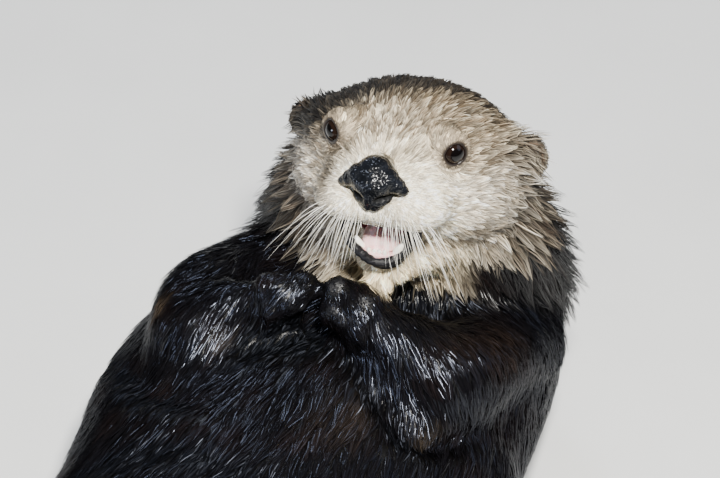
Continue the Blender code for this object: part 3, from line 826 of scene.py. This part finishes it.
def build_lids(side):
    """A ring of lids: a moist dark edge against the eyeball, a soft fold, then down into the skin."""
    centre, gaze, out, up = eye_frame(side)
    turn = np.linspace(0, math.tau, LID_STEPS, endpoint=False)
    outer, inner = (np.clip(way * side * np.cos(turn), 0, 1) for way in (1, -1))
    opening = LID_OPENING - OUTER_CORNERS[side] * outer**3 + 4 * inner**6 - np.clip(np.sin(turn), 0, 1)
    spoke = np.cos(turn)[:, None] * out + np.sin(turn)[:, None] * up
    rings = []
    for lift, reach in LID_RINGS:
        angle = (np.radians(opening) + math.radians(lift))[:, None]
        rings.append(centre + (np.cos(angle) * gaze + np.sin(angle) * spoke) * reach * MM)
    fold, rim = rings[-1], skin_round_eye(centre, gaze, spoke)
    for share, proud in LID_JOIN:
        rings.append(fold * (1 - share) + rim * share + gaze * proud * MM)
    points = np.concatenate(rings)
    mesh = mesh_of("lids_" + SIDES[side], points, np.array(walls(len(rings), LID_STEPS))[:, [0, 2, 1]])
    shade = np.repeat(LID_SHADES, LID_STEPS)
    part, q, _ = regions(points, all_head(len(points)))
    _, hide = coat_colours(points, part, q)
    give_colour(mesh, mix(LID_EDGE, hide * 0.8, shade))
    give(mesh, "wet", 1 - shade * 0.9)
    give(mesh, "pebbly", np.zeros(len(points)))
    return keep(link(mesh.name, mesh, HIDE), "pale_fur")


NOSE_MASSES = [  # centre from the nose's middle, and radii
    ((0, -24, -5.5), (11.0, 11, 8.8)),
    ((0, -28, -12), (14, 11, 9)),
    ((0, -28.5, -19.5), (13.5, 9.5, 7.5)),
    ((0, -27.5, -24.5), (8.5, 7.5, 6.8)),
]
NOSE_WING = [  # the same, for the wing of each side
    ((9, -26.5, -9.0), (7, 9, 7)),
    ((14, -26, -12.3), (6, 7, 5.5)),
    ((18, -25.5, -15), (4.6, 5, 3.6)),
    ((20.5, -25, -16.3), (2.6, 3.4, 2.2)),
]
# A nostril is a comma: a round hole in front that trails off outward below the wing. Each hollow's place, its width
# and depth, and how far the painted shade of its dark pit reaches.
NOSTRIL = [
    ((7.6, -38, -20.8), 3.4, 8.0, 4.0),
    ((10.6, -35, -19.9), 3.0, 7.0, 3.6),
    ((13.6, -31, -18.8), 2.3, 4.0, 2.8),
]


def beside_nose_middle(place, side):
    x, y, z = place
    return NOSE_MIDDLE + side * x, y, z


def build_nose():
    clay = bmesh.new()
    for centre, radii in NOSE_MASSES:
        ball(clay, beside_nose_middle(centre, LEFT), radii)
    for side in SIDES:
        for centre, radii in NOSE_WING:
            ball(clay, beside_nose_middle(centre, side), radii)
    nose = remeshed(clay, "nose_pad", 0.8 * MM)
    mesh = nose.data
    points = relaxed(points_of(mesh), edges_of(mesh), 10)
    put_points(mesh, points)
    normals = relaxed(normals_of(mesh), edges_of(mesh), 4)
    q = local(points, HEAD)
    # Each nostril's pit is painted dark as shade in the hole, and made matt.
    pit = 0
    for side in SIDES:
        for place, wide, depth, dark in NOSTRIL:
            centre = beside_nose_middle(place, side)
            hole = bell(ellipse_reach(q, centre, (1, 1.6, 0.8)), wide)
            points = pushed(points, normals, -depth * hole)
            pit = np.maximum(pit, fade(0.8, 1.3, ellipse_reach(q, centre, (1, 1.8, 0.75)) / dark))
    give(mesh, "pit", pit)
    groove = bell(q[:, 0] - NOSE_MIDDLE, 1.1) * fade(-22, -14, q[:, 2]) * (q[:, 1] < -28)
    points = pushed(points, normals, -0.9 * groove)
    pebbles = 0.10 * ripple(points, 0.0035, 31) + 0.16 * ripple(points, 0.008, 32)
    put_points(mesh, pushed(points, normals, pebbles))
    smooth(mesh)
    mesh.materials.append(NOSE_PAD)
    keep(nose, "nose_leather", "nose")


def build_tongue():
    clay = bmesh.new()
    ball(clay, (-3, 3.5, -63.2), (12.5, 17, 6.0), tilt=16, detail=5)
    mesh = poured(clay, "tongue")
    points = points_of(mesh)
    groove = bell(local(points, HEAD)[:, 0] + 2, 2.2)
    wave = 0.35 * ripple(points, 0.012, 41)
    put_points(mesh, pushed(points, turned(np.array([0, 0.3, 1.0]), HEAD), wave - 1.6 * groove))
    smooth(mesh)
    keep(link("tongue_muscle", mesh, TONGUE_FLESH), "tongue", "tongue")


def tube(rings):
    """Points and triangles of a closed tube through rings of points, with a cap at each end."""
    count, sides = rings.shape[:2]
    triangles = walls(count, sides)
    last = (count - 1) * sides
    for side in range(1, sides - 1):
        triangles += [(0, side + 1, side), (last, last + side, last + side + 1)]
    return rings.reshape(-1, 3), np.array(triangles)


def joined(parts):
    """Several sets of points and triangles as one."""
    firsts = np.cumsum([0] + [len(points) for points, _ in parts])
    triangles = [own + first for (_, own), first in zip(parts, firsts)]
    return np.concatenate([points for points, _ in parts]), np.concatenate(triangles)


def spindle(line, widths, sides=10, flat=1.0):
    """A tube along a line of points with a width at each, and flattened one way, as points and triangles."""
    line = np.array(line, float)
    ahead = unit(np.gradient(line, axis=0))
    across = unit(np.cross(ahead, np.array([0.13, 0.37, 0.92])))  # a way that no line here takes
    over = np.cross(ahead, across)
    turn = np.linspace(0, math.tau, sides, endpoint=False)[:, None]
    rings = []
    for place, a, o, width in zip(line, across, over, widths):
        rings.append(place + (np.cos(turn) * a + np.sin(turn) * o * flat) * width / 2)
    return tube(np.array(rings))


def curve(points, steps):
    """A smooth curve of points through a few."""
    points = np.array(points, float)
    t = np.linspace(0, len(points) - 1, steps)
    low = np.clip(t.astype(int), 0, len(points) - 2)
    f = (t - low)[:, None]
    before, after = points[np.maximum(low - 1, 0)], points[np.minimum(low + 2, len(points) - 1)]
    a, b = points[low], points[low + 1]
    m0, m1 = (b - before) / 2, (after - a) / 2
    return (2 * f**3 - 3 * f**2 + 1) * a + (f**3 - 2 * f**2 + f) * m0 + (3 * f**2 - 2 * f**3) * b + (f**3 - f**2) * m1


def in_mouth(name, parts, finish):
    """Parts in the head's frame as one piece."""
    points, triangles = joined(parts)
    return link(name, mesh_of(name, in_world(points, HEAD), triangles), finish)


def tapered(length, wide, power):
    """A fang's widths from its root to its blunt tip."""
    return wide * (1 - np.linspace(0, 1, length) ** power) ** 0.6 + 0.5


GUM_LINE = [(-15, 4, -69), (-14, -5, -68.5), (-9.5, -11, -68.5), (-2, -13.5, -68.5)]
GUM_LINE += [(5.5, -11, -68.5), (10, -5, -68.5), (11, 4, -69)]
INCISORS = [(-7.0, 3.4), (-3.7, 3.0), (-0.3, 3.0), (3.0, 3.4)]  # x, and how high it stands
MOLARS = [(0, 4.0), (6, 4.5)]  # y, and how high it stands


def build_teeth():
    lower, upper = [], []
    for x, height in INCISORS:
        line = [(x, -12.4, -69), (x, -12.9, -67), (x, -13.2, -65.4), (x, -13.1, height - 68), (x, -13, height - 67.6)]
        lower.append(spindle(line, [2.6, 2.9, 2.9, 2.3, 0.9], 10, 0.75))
    for side in SIDES:
        x = -2 + side * 11
        fang = [(x, -8, -69.5), (x + side * 0.8, -8.6, -66), (x + side * 2.4, -9.2, -63), (x + side * 4, -8.8, -60)]
        lower.append(spindle(curve(fang, 12), tapered(12, 5.2, 2.2), 14, 0.9))
        for y, height in MOLARS:
            line = [(x, y, -70), (x, y, -67.5), (x, y - 0.3, height - 69), (x, y - 0.3, height - 68)]
            lower.append(spindle(line, [4.5, 5, 4, 1.2], 10, 1.2))
        x = -3 + side * 10
        fang = [(x, -7, -42), (x, -8, -46), (x - side * 0.4, -7.6, -50.5)]
        upper.append(spindle(curve(fang, 10), tapered(10, 4.2, 2), 12))
    gum = curve(GUM_LINE, 36)
    widths = np.full(len(gum), 4.2)
    widths[[0, -1]] = 1.5
    keep(in_mouth("lower_teeth", lower, ENAMEL), "tooth", "teeth_lower")
    keep(in_mouth("lower_gum", [spindle(gum, widths)], TONGUE_FLESH), "tongue")
    keep(in_mouth("upper_teeth", upper, ENAMEL), "tooth")


LIP_LINE = [(-22, -12, -47), (-24, -10, -53.5), (-22.5, -10, -60.5), (-15, -12.5, -67)]
LIP_LINE += [(-1, -17.5, -71), (11, -11.5, -68.5), (17.0, -3, -61.5)]
LIP_STEPS, LIP_SIDES = 72, 20


def build_lips():
    """The thick black edge of the lower lip, which runs up round both corners of the mouth."""
    line = curve(LIP_LINE, LIP_STEPS)
    along = np.linspace(0.12, 0.88, LIP_STEPS)
    widths = 5.8 * np.sin(math.pi * along) ** 0.8
    widths[[0, -1]] = 0.6
    points, triangles = spindle(line, widths, LIP_SIDES)
    wrinkles = 0.35 * ripple(points, 5.0, 44)[:, None]
    points = points + unit(points - np.repeat(line, LIP_SIDES, axis=0)) * wrinkles
    lips = in_mouth("lips", [(points, triangles)], HIDE)
    give_colour(lips.data, np.tile(LIP_BLACK, (len(points), 1)))
    give(lips.data, "wet", np.full(len(points), 0.7))
    give(lips.data, "pebbly", np.full(len(points), 0.4))
    keep(lips, "nose_leather")


WHISKERS_A_SIDE = 40
WHISKER_ROWS = 5
WHISKER_WIDTH = 0.40 * MM


def build_whiskers():
    draw = np.random.default_rng(61)
    t = np.linspace(0, 1, 9)[:, None]
    parts = []
    for side in SIDES:
        aim = Vector(turned(unit(np.array([-0.1 * side, 1.0, 0.0])), HEAD))
        for index in range(WHISKERS_A_SIDE):
            place, row = divmod(index, WHISKER_ROWS)
            x = NOSE_MIDDLE + side * (11.5 + 3.5 * place + draw.uniform(-1, 1))
            z = -28 - 3.6 * row - 0.6 * place + draw.uniform(-1, 1)
            root, normal, _, _ = SKIN_FINDER.ray_cast(Vector(in_world(np.array([x, -60.0, z]), HEAD)), aim)
            if root is None:
                continue
            root, normal = np.array(root), np.array(normal)
            length = draw.uniform(13, 26) * (1.4 if place > 3 else 1.0) * MM
            outward = side * (0.05 + 0.16 * place + draw.uniform(-0.15, 0.25))
            ahead = unit(normal + turned(np.array([outward, -0.15, -0.30 - 0.14 * row]), HEAD))
            sag = turned(np.array([side * draw.uniform(-0.05, 0.35), 0.35, -1.0]), HEAD) * draw.uniform(0.45, 0.9)
            line = root - normal * 1.5 * MM + (ahead * t + sag * t**2) * length
            line[:, 2] = np.maximum(line[:, 2], 1.0 * MM)
            parts.append(spindle(line, WHISKER_WIDTH * (1 - 0.75 * t[:, 0]), 4))
    keep(link("whiskers", mesh_of("whiskers", *joined(parts)), BRISTLE), "pale_fur")


TOE_LENGTHS = (118, 135, 152, 168, 182)
TOE_SPREAD = 12  # degrees from each toe to the next
CLAW_LENGTH, CLAW_HOOK = 15, 2.4
ANKLE = np.array([104.0, -548.0, 68.0])
TOE_END = np.array([172.0, -682.0, 158.0])


def build_claws():
    parts = []
    steps = np.linspace(0, 1, 8)
    widths = 5.4 * (1 - steps**1.6) + 0.7
    for side in SIDES:
        mirror = np.array([side, 1, 1])
        ankle, end = ANKLE * mirror, TOE_END * mirror
        along = unit(end - ankle)
        across = np.array([side, 0.3, -0.3])
        across = unit(across - along * (across @ along))
        upper = np.cross(across, along) * side
        for toe, length in enumerate(TOE_LENGTHS):
            angle = math.radians((toe - 2) * TOE_SPREAD)
            line = along * math.cos(angle) + across * math.sin(angle)
            root = ankle + line * (length - 9) + upper * 3
            hook = np.array([0, 0, CLAW_HOOK]) * steps[:, None] ** 2
            parts.append(spindle(root + line * steps[:, None] * CLAW_LENGTH - hook, widths, 10, 0.8))
    points, triangles = joined(parts)
    keep(link("claws", mesh_of("claws", in_world(points, BODY), triangles), CLAW_KERATIN), "flipper_skin")


LIDS = []
for side in SIDES:
    build_eyeball(side)
    LIDS.append(build_lids(side))
build_nose()
build_tongue()
build_teeth()
build_lips()
build_whiskers()
build_claws()

# ---------------------------------------------------------------- coat


def growing_ground():
    """Skin and lids as one set of points, normals and triangles, with each point's share of each solid and how bare
    of hair it is."""
    lids = [piece.data for piece in LIDS]
    points, triangles = joined(
        [(SKIN_POINTS, triangles_of(skin.data))] + [(points_of(mesh), triangles_of(mesh)) for mesh in lids]
    )
    normals = np.concatenate([relaxed(normals_of(skin.data), EDGES, 2)] + [normals_of(mesh) for mesh in lids])
    shares = [SHARE] + [all_head(len(mesh.vertices)) for mesh in lids]
    share = {name: np.concatenate([some[name] for some in shares]) for name in FLESH}
    bare = np.concatenate([np.zeros(len(SKIN_POINTS))] + [np.repeat(LID_BARE, LID_STEPS) for _ in lids])
    return points, unit(normals), triangles, share, bare


PAW_TIPS = {LEFT: np.array([-16.0, -46.0, 216.0]), RIGHT: np.array([-30.0, -48.0, 206.0])}


def arm_of(side, share):
    return sum(share[part + "_" + SIDES[side]] for part in ("upper_arm", "forearm", "paw"))


def lie_of_coat(points, normals, part, q, b, share):
    """The way the hairs lie, along the skin: back from the nose, down the throat, and tailward on the body."""
    back = smooth_step(0, 70, q[:, 1])[:, None]
    head = unit(unit(q - NOSE_TIP) * (1 - 0.55 * back) + np.array([0, 0.25, -0.9]) * back * 0.8)
    head = turned(head, HEAD)
    spread = unit(b - np.array([0, 10, 170]))
    trunk = unit(np.array([0, -1.0, 0]) + 0.55 * spread * np.array([1, 1, 0.4]) + np.array([0, 0, -0.25]))
    neck = unit(np.array([0, -0.35, -1.0]) + 0.5 * unit(b - np.array([0, 40, 200])) * np.array([1, 1, 0]))
    flow = mix(trunk, neck, part["neck"])
    left_arm = unit(unit(b - PAW_TIPS[LEFT]) + np.array([0.0, -0.75, -0.25]))
    right_arm = unit(0.35 * unit(b - PAW_TIPS[RIGHT]) + np.array([0.1, -1.0, -0.3]))
    flow = mix(flow, left_arm, arm_of(LEFT, share))
    flow = mix(flow, right_arm, arm_of(RIGHT, share))
    for side, word in SIDES.items():
        toes = unit((TOE_END - ANKLE) * np.array([side, 1, 1]))
        flow = mix(flow, toes, share["flipper_" + word])
        flow = mix(flow, unit(np.array([side * 0.35, -0.9, 0.2])), share["leg_" + word])
        from_eye = points - np.array(EYE_CENTRES[side])
        around = unit(from_eye + turned(np.array([0, 0.004, 0.0]), HEAD))
        head = mix(head, around, 0.75 * fade(9, 24, np.linalg.norm(from_eye, axis=1) / MM))
    flow = mix(flow, head, np.clip(part["head"], 0, 1))
    swirl = 0.16 * ripple(points, 0.05, 71) + 0.09 * ripple(points, 0.018, 72)
    flow = flow + np.cross(normals, flow) * swirl[:, None]
    return unit(flow - normals * (flow * normals).sum(axis=1, keepdims=True))


# Tufts to the square millimetre, then each one's length and width in millimetres, its lift off the skin, its share of
# clumping with its neighbours, and how closely it hugs the skin's curve. Each is laid over those before it.
TUFTS = {
    "back": (0.050, 26.0, 3.2, 0.08, 0.50, 0.9),
    "trunk": (0.26, 23.0, 1.05, 0.07, 0.55, 1.0),
    "arm": (0.44, 19.0, 0.90, 0.08, 0.60, 0.75),
    "leg": (0.09, 18.0, 2.6, 0.08, 0.50, 0.9),
    "tail": (0.09, 18.0, 2.6, 0.08, 0.50, 0.9),
    "neck": (0.36, 21.0, 1.10, 0.16, 0.75, 0.8),
    "head": (0.86, 13.0, 0.64, 0.10, 0.80, 0.95),
    "ruff": (0.58, 21.0, 0.84, 0.32, 0.95, 0.35),
    "face": (1.75, 9.0, 0.56, 0.08, 0.70, 1.0),
    "muzzle": (2.60, 3.8, 0.50, 0.16, 0.25, 1.0),
    "lids": (2.40, 3.4, 0.45, 0.10, 0.20, 1.0),
    "chin": (1.00, 12.0, 0.75, 0.10, 0.50, 0.8),
    "ear": (1.10, 5.5, 0.75, 0.20, 0.50, 0.8),
    "paw": (0.70, 9.0, 0.80, 0.05, 0.55, 1.0),
    "flipper": (0.07, 3.0, 0.9, 0.05, 0.30, 1.0),
}


def coat_fields(part, q, b, bare):
    """The six values of that table over the ground, less where it is bald, shaded or close to the mouth."""
    wide = np.abs(q[:, 0])
    ruff = smooth_step(44, 66, wide) * smooth_step(18, 46, q[:, 1]) * np.clip(part["head"] + part["neck"], 0, 1)
    ruff = np.clip(ruff + 0.8 * smooth_step(62, 92, q[:, 1]) * part["neck"], 0, 1)
    weights = dict(part, back=np.ones(len(b)), ruff=ruff)
    weights["trunk"] = smooth_step(50, 100, b[:, 2]) * smooth_step(-310, -230, b[:, 1])
    for name in ("face", "muzzle", "lids", "chin"):
        weights[name] = part[name] * part["head"]
    fields = np.zeros((len(b), 6))
    for name, values in TUFTS.items():
        fields = mix(fields, np.array(values), weights[name][:, None])
    bald = part["lip"] * 1.3 + part["mouth"] * 1.5 + part["nose_bed"] + part["eye_bed"] + bare + 0.75 * part["pads"]
    fields[:, 0] *= 1 - np.clip(bald, 0, 1)
    fields[:, 1] *= (1 - 0.6 * part["pads"]) * (1 - 0.5 * part["shade"])
    fields[:, 1] *= 1 - 0.7 * part["mouth_edge"] * part["head"]
    return fields


GROUND, GROUND_NORMALS, GROUND_TRIANGLES, GROUND_SHARE, BARE = growing_ground()
GROUND_PART, GROUND_Q, GROUND_B = regions(GROUND, GROUND_SHARE)
GROUND_PART["eye_bed"] = GROUND_PART["eye_bed"] * (np.arange(len(GROUND)) < len(SKIN_POINTS))  # not on the lids
FLOW = lie_of_coat(GROUND, GROUND_NORMALS, GROUND_PART, GROUND_Q, GROUND_B, GROUND_SHARE)
FIELDS = coat_fields(GROUND_PART, GROUND_Q, GROUND_B, BARE)
ROOT_COLOUR, TIP_COLOUR = coat_colours(GROUND, GROUND_PART, GROUND_Q)
NEAREST = KDTree(len(GROUND))
for index in np.flatnonzero(GROUND_PART["eye_bed"] < 0.5):
    NEAREST.insert(GROUND[index], int(index))
NEAREST.balance()

BAKE_PATCH = 0.003  # each tuft's share of its piece's bake
ROUNDNESS = 0.45  # how round a tuft looks across: its shading otherwise follows the body, as a wet coat's does
GUARD_HAIRS = 0.3  # the share of tufts that lie over the rest along their whole length
LEADERS = 1 / 13  # the share of tufts that the others cling to
STRAY, LEAN = 0.07, 0.15  # how far tufts turn at random from the coat's flow, and their shading from the skin's
ROOTS_UNDER = 0.5 * MM  # how far a tuft starts inside the skin
# A tuft is two rings of three points and a tip, with a cap over its root. Its heights go from root to tip.
TUFT_TRIANGLES = [(2, 1, 0), (0, 1, 4), (0, 4, 3), (1, 2, 5), (1, 5, 4), (2, 0, 3), (2, 3, 5)]
TUFT_TRIANGLES = np.array(TUFT_TRIANGLES + [(3, 4, 6), (4, 5, 6), (5, 3, 6)])
FACES_OUT = np.array([-1, 1, 1, 1, 1, -1, -1, 1, 1, -1])  # the cap and the flat side face the skin
HEIGHTS = np.array([0, 0, 0, 0.5, 0.5, 0.5, 1.0])
ACROSS = np.array([0, 0.5, 1.0, 0, 0.5, 1.0, 0.5])


def sow(triangles, seed):
    """Random roots over some of the ground's triangles: which triangle, and the weights of its corners."""
    draw = np.random.default_rng(seed)
    a, b, c = (GROUND[triangles[:, k]] for k in range(3))
    area = np.linalg.norm(np.cross(b - a, c - a), axis=1) / 2 / MM**2
    want = area * FIELDS[triangles, 0].mean(axis=1)
    total = np.concatenate([[0], np.cumsum(want)])
    count = int(total[-1])
    chosen = np.searchsorted(total, (np.arange(count) + draw.random(count)) * total[-1] / count, side="right") - 1
    u, v = draw.random(count), draw.random(count)
    over = u + v > 1
    u[over], v[over] = 1 - u[over], 1 - v[over]
    return np.clip(chosen, 0, len(triangles) - 1), np.stack([1 - u - v, u, v], axis=1)


def unwrapped(triangles):
    """Each triangle's corners on an unwrap of this stretch of the ground's own shape."""
    used, renumbered = np.unique(triangles, return_inverse=True)
    mesh = mesh_of("cloth", GROUND[used], renumbered.reshape(-1, 3))
    cloth = link("cloth", mesh)
    bpy.context.view_layer.objects.active = cloth
    cloth.select_set(True)
    bpy.ops.object.mode_set(mode="EDIT")
    bpy.ops.mesh.select_all(action="SELECT")
    bpy.ops.uv.smart_project(angle_limit=math.radians(66), island_margin=0.004)
    bpy.ops.object.mode_set(mode="OBJECT")
    places = rows_of(mesh.uv_layers[0].data, "uv", 2)
    bpy.data.objects.remove(cloth)
    bpy.data.meshes.remove(mesh)
    return places.reshape(-1, 3, 2)


def combed(roots, normals, flow, length, lift, hug, stray):
    """Each tuft's root, middle and tip, laid along the coat's flow, with the skin's normals under them, and the
    flow under the tip."""
    place, normal, ahead = roots, normals, flow
    straight = unit(flow + np.cross(normals, flow) * stray + normals * lift[:, None])
    line, under = [roots], [normals]
    for t in (0.5, 1.0):
        place = place + unit(ahead + np.cross(normal, ahead) * stray) * (length / 2)[:, None]
        index = np.array([NEAREST.find(p)[1] for p in place])
        normal, ahead = GROUND_NORMALS[index], FLOW[index]
        place = place - normal * ((place - GROUND[index]) * normal).sum(axis=1, keepdims=True)
        lying = place + normal * (lift * length * t * (1.35 - 0.5 * t) + 0.15 * MM)[:, None]
        free = roots + straight * (length * t)[:, None]
        line.append(mix(free, lying, hug))
        under.append(normal)
    return line, under, ahead


def cling(line, length, clump, draw):
    """Draws each tuft towards the leader nearest to its tip, and says which one that is."""
    leaders = np.flatnonzero(draw.random(len(length)) < LEADERS)
    finder = KDTree(len(leaders))
    for leader in leaders:
        finder.insert(line[2][leader], int(leader))
    finder.balance()
    own = np.array([finder.find(tip)[1] for tip in line[2]])
    near = np.linalg.norm(line[0][own] - line[0], axis=1) < 0.7 * length
    for joint, share in ((1, 0.5**1.4), (2, 1.0)):
        line[joint] = line[joint] + (line[joint][own] - line[joint]) * (clump * near * share)[:, None]
    return own


def tuft_shapes(line, under, width, lean):
    """Every tuft's seven points, and the normals that they are shaded by."""
    points, facing = [], []
    for joint in (0, 1):
        course = unit(line[joint + 1] - line[0])
        side = unit(np.cross(under[joint], course))
        half = (width / 2 * (1 - 0.125 * joint))[:, None]
        ridge = under[joint] * (width * 0.28)[:, None]
        points += [line[joint] + side * half, line[joint] + ridge, line[joint] - side * half]
        outward = under[joint] + side * lean[0] + course * lean[1]
        facing += [unit(outward + side * ROUNDNESS), unit(outward), unit(outward - side * ROUNDNESS)]
    points = np.stack([*points, line[2]], axis=1)
    points[..., 2] = np.maximum(points[..., 2], 0.5 * MM)
    return points, np.stack([*facing, facing[-2]], axis=1)


def give_bake(mesh, places):
    """Unwraps tufts to patches round their roots' places, for the bake."""
    patch = np.stack([ACROSS, HEIGHTS + 0.1 * np.sin(math.pi * ACROSS) * (HEIGHTS < 1)], axis=1) - 0.5
    places = np.clip(places[:, None] + patch * BAKE_PATCH, 0.0005, 0.9995).reshape(-1, 2)
    order = rows_of(mesh.loops, "vertex_index", 1, np.int32)[:, 0]
    layer = mesh.uv_layers.new(name="OFBake")
    layer.data.foreach_set("uv", places[order].astype(np.float32).ravel())


def grow_coat(name, triangles, slot, seed):
    """One piece of the coat: tufts over some of the ground's triangles, as one mesh."""
    draw = np.random.default_rng(seed)
    chosen, weights = sow(triangles, seed)
    corners = triangles[chosen]

    def at_roots(values):
        return np.einsum("nk,nk...->n...", weights, values[corners])

    roots, normals, flow = at_roots(GROUND), unit(at_roots(GROUND_NORMALS)), unit(at_roots(FLOW))
    shade, pale, muzzle, chin, face = (
        at_roots(GROUND_PART[part]) for part in ("shade", "pale", "muzzle", "chin", "face")
    )
    _, length, width, lift, clump, hug = at_roots(FIELDS).T
    count = len(roots)
    guard = draw.random(count) < GUARD_HAIRS
    length = length * draw.uniform(0.7, 1.2, count) * np.where(guard, 1.15, 0.85) * MM
    width = width * draw.uniform(0.7, 1.2, count) * MM
    lift = lift * np.where(guard, draw.uniform(1.3, 2.4, count), draw.uniform(0.3, 1.0, count))
    stray = draw.normal(0, STRAY, count)[:, None]
    line, under, tip_flow = combed(roots, normals, flow, length, lift, hug, stray)
    own = cling(line, length, clump, draw)
    line[2] = line[2] - tip_flow * (0.15 * length * draw.random(count))[:, None]
    line[0] = roots - normals * ROOTS_UNDER
    lean = draw.normal(0, LEAN, (2, count, 1)) * (1 + 4 * shade + pale)[:, None]
    points, facing = tuft_shapes(line, under, width, lean)
    first = (np.arange(count) * len(HEIGHTS))[:, None, None]
    mesh = mesh_of(name, points.reshape(-1, 3), (TUFT_TRIANGLES + first).reshape(-1, 3))
    facing = facing[:, TUFT_TRIANGLES] * FACES_OUT[None, :, None, None]
    mesh.normals_split_custom_set(facing.reshape(-1, 3).astype(np.float32))

    # Locks differ in tone, and tufts within them; the pale hairs are streaked with their darker roots' colour.
    tone = (0.18 + 0.06 * pale) * draw.normal(0, 1, count)
    tone = np.exp(tone + (0.12 + 0.22 * pale * (1 - 0.6 * muzzle)) * draw.normal(0, 1, count)[own])
    streak = 0.9 * draw.random(count)[own] ** 2 + 0.55 * draw.random(count) ** 2.5
    streak = streak * pale * (1 - 0.65 * muzzle) * (1 - 0.8 * chin)
    root, tip = at_roots(ROOT_COLOUR), at_roots(TIP_COLOUR)
    tip = mix(tip, root, np.clip(streak, 0, 1))
    height = (HEIGHTS ** (1 + 0.8 * pale * (1 - face))[:, None])[..., None]
    colour = (root[:, None] * (1 - height) + tip[:, None] * height) * tone[:, None, None]
    # Painted shade deep in the coat: each tuft is darker toward its root, over the lower half of its length.
    colour = colour * (0.6 + 0.4 * np.minimum(1, 2 * height))
    give_colour(mesh, colour.reshape(-1, 3))
    hind = smooth_step(-230, -340, at_roots(GROUND_B)[:, 1])
    wet = (1 - 0.85 * pale) * (1 - 0.97 * shade) * (1 - 0.35 * hind)
    give(mesh, "wet", np.repeat(wet, len(HEIGHTS)))
    strand = np.repeat(draw.uniform(0, 40, count), len(HEIGHTS))
    along, across = np.tile(HEIGHTS * STREAKS_LONG, count), np.tile(ACROSS * STREAKS_WIDE, count)
    give(mesh, "strand", np.stack([strand, along, across], axis=1))
    give_bake(mesh, np.einsum("nk,nkd->nd", weights, unwrapped(triangles)[chosen]))
    keep(link(name, mesh, DAMP_HAIR if slot == "pale_fur" else WET_HAIR), slot)


def coat_stretches():
    """The coat's pieces: the ground's triangles that each grows on, and its slot."""
    q, b = (places[GROUND_TRIANGLES].mean(axis=1) for places in (GROUND_Q, GROUND_B))
    share = {name: values[GROUND_TRIANGLES].mean(axis=1) for name, values in GROUND_SHARE.items()}
    head = share["head"] + share["ear_left"] + share["ear_right"] > 0.5
    arm = {side: arm_of(side, share) > 0.5 for side in SIDES}
    trunk = ~head & ~arm[LEFT] & ~arm[RIGHT]
    neck, body = trunk & (share["neck"] > 0.5), trunk & (share["neck"] <= 0.5)
    front, upper = q[:, 1] < 22, b[:, 2] > 95
    belly = body & upper & (b[:, 1] <= -170)
    left, body_left = q[:, 0] > 0, b[:, 0] > 0
    return [
        ("coat_face_left", head & front & left, "pale_fur"),
        ("coat_face_right", head & front & ~left, "pale_fur"),
        ("coat_crown_left", head & ~front & left, "pale_fur"),
        ("coat_crown_right", head & ~front & ~left, "pale_fur"),
        ("coat_neck_left", neck & left, "pale_fur"),
        ("coat_neck_right", neck & ~left, "pale_fur"),
        ("coat_arm_left", arm[LEFT], "dark_fur"),
        ("coat_arm_right", arm[RIGHT], "dark_fur"),
        ("coat_chest", body & upper & ~belly, "dark_fur"),
        ("coat_belly_left", belly & body_left, "dark_fur"),
        ("coat_belly_right", belly & ~body_left, "dark_fur"),
        ("coat_back", body & ~upper & (b[:, 1] > -480), "dark_fur"),
        ("coat_hindquarters", body & ~upper & (b[:, 1] <= -480), "dark_fur"),
    ]


for seed, (name, chosen, slot) in enumerate(coat_stretches(), 100):
    grow_coat(name, GROUND_TRIANGLES[chosen], slot, seed)

# ---------------------------------------------------------------- studio

WARM_WHITE, COOL_WHITE = "#FFFCF6", "#DDE8FF"
CAMERA_AZIMUTH = math.radians(22)
CAMERA_ELEVATION = math.radians(44.5)
CAMERA_DISTANCE = 2.0
CAMERA_LENS = 167.0
VIEW_RIGHT = Vector((math.cos(CAMERA_AZIMUTH), math.sin(CAMERA_AZIMUTH), 0))
VIEW_BACK = Vector((math.sin(CAMERA_AZIMUTH), -math.cos(CAMERA_AZIMUTH), 0)) * math.cos(CAMERA_ELEVATION)
VIEW_BACK.z = math.sin(CAMERA_ELEVATION)
VIEW_UP = VIEW_BACK.cross(VIEW_RIGHT)
AIM = BROW - VIEW_RIGHT * 0.0198 - VIEW_UP * 0.0588


def area_light(name, place, target, size, power, tint):
    lamp = bpy.data.lights.new(name, "AREA")
    lamp.shape = "DISK"
    lamp.size = size
    lamp.energy = power
    lamp.color = linear(tint)
    made = link(name, lamp)
    made.location = place
    made.rotation_mode = "QUATERNION"
    made.rotation_quaternion = (Vector(target) - Vector(place)).to_track_quat("-Z", "Y")


def build_studio():
    clay = bmesh.new()
    bmesh.ops.create_grid(clay, x_segments=1, y_segments=1, size=6)
    floor = link("studio_floor", poured(clay, "studio_floor"), BOARD)
    world = bpy.data.worlds.new("studio")
    bpy.context.scene.world = world
    world.use_nodes = True
    sky = world.node_tree.nodes["Background"].inputs
    sky["Color"].default_value = rgba("#F2F5F8")
    sky["Strength"].default_value = 0.14


def build_camera():
    lens = bpy.data.cameras.new("camera")
    lens.lens = CAMERA_LENS
    lens.sensor_width = 36
    camera = link("camera", lens)
    turn = Matrix((VIEW_RIGHT, VIEW_UP, VIEW_BACK)).transposed().to_4x4()
    camera.matrix_world = Matrix.Translation(AIM + VIEW_BACK * CAMERA_DISTANCE) @ turn
    bpy.context.scene.camera = camera


build_studio()
build_camera()
area_light("key", AIM + VIEW_BACK * 1.6 + VIEW_UP * 0.4 + VIEW_RIGHT * 0.15, AIM, 0.2, 96.0, WARM_WHITE)
area_light("fill", (1.6, 0.9, 1.5), (0, 0.1, 0.1), 1.4, 10.0, COOL_WHITE)
area_light("side", AIM - VIEW_RIGHT * 1.5 - VIEW_UP * 0.3 + VIEW_BACK * 0.9, AIM, 0.4, 14.0, COOL_WHITE)
area_light("back", AIM + Vector((-1.0, 1.3, 1.3)), AIM, 0.35, 14.0, COOL_WHITE)

# ---------------------------------------------------------------- every piece on one root

for piece in PIECES:
    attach(piece, "root")
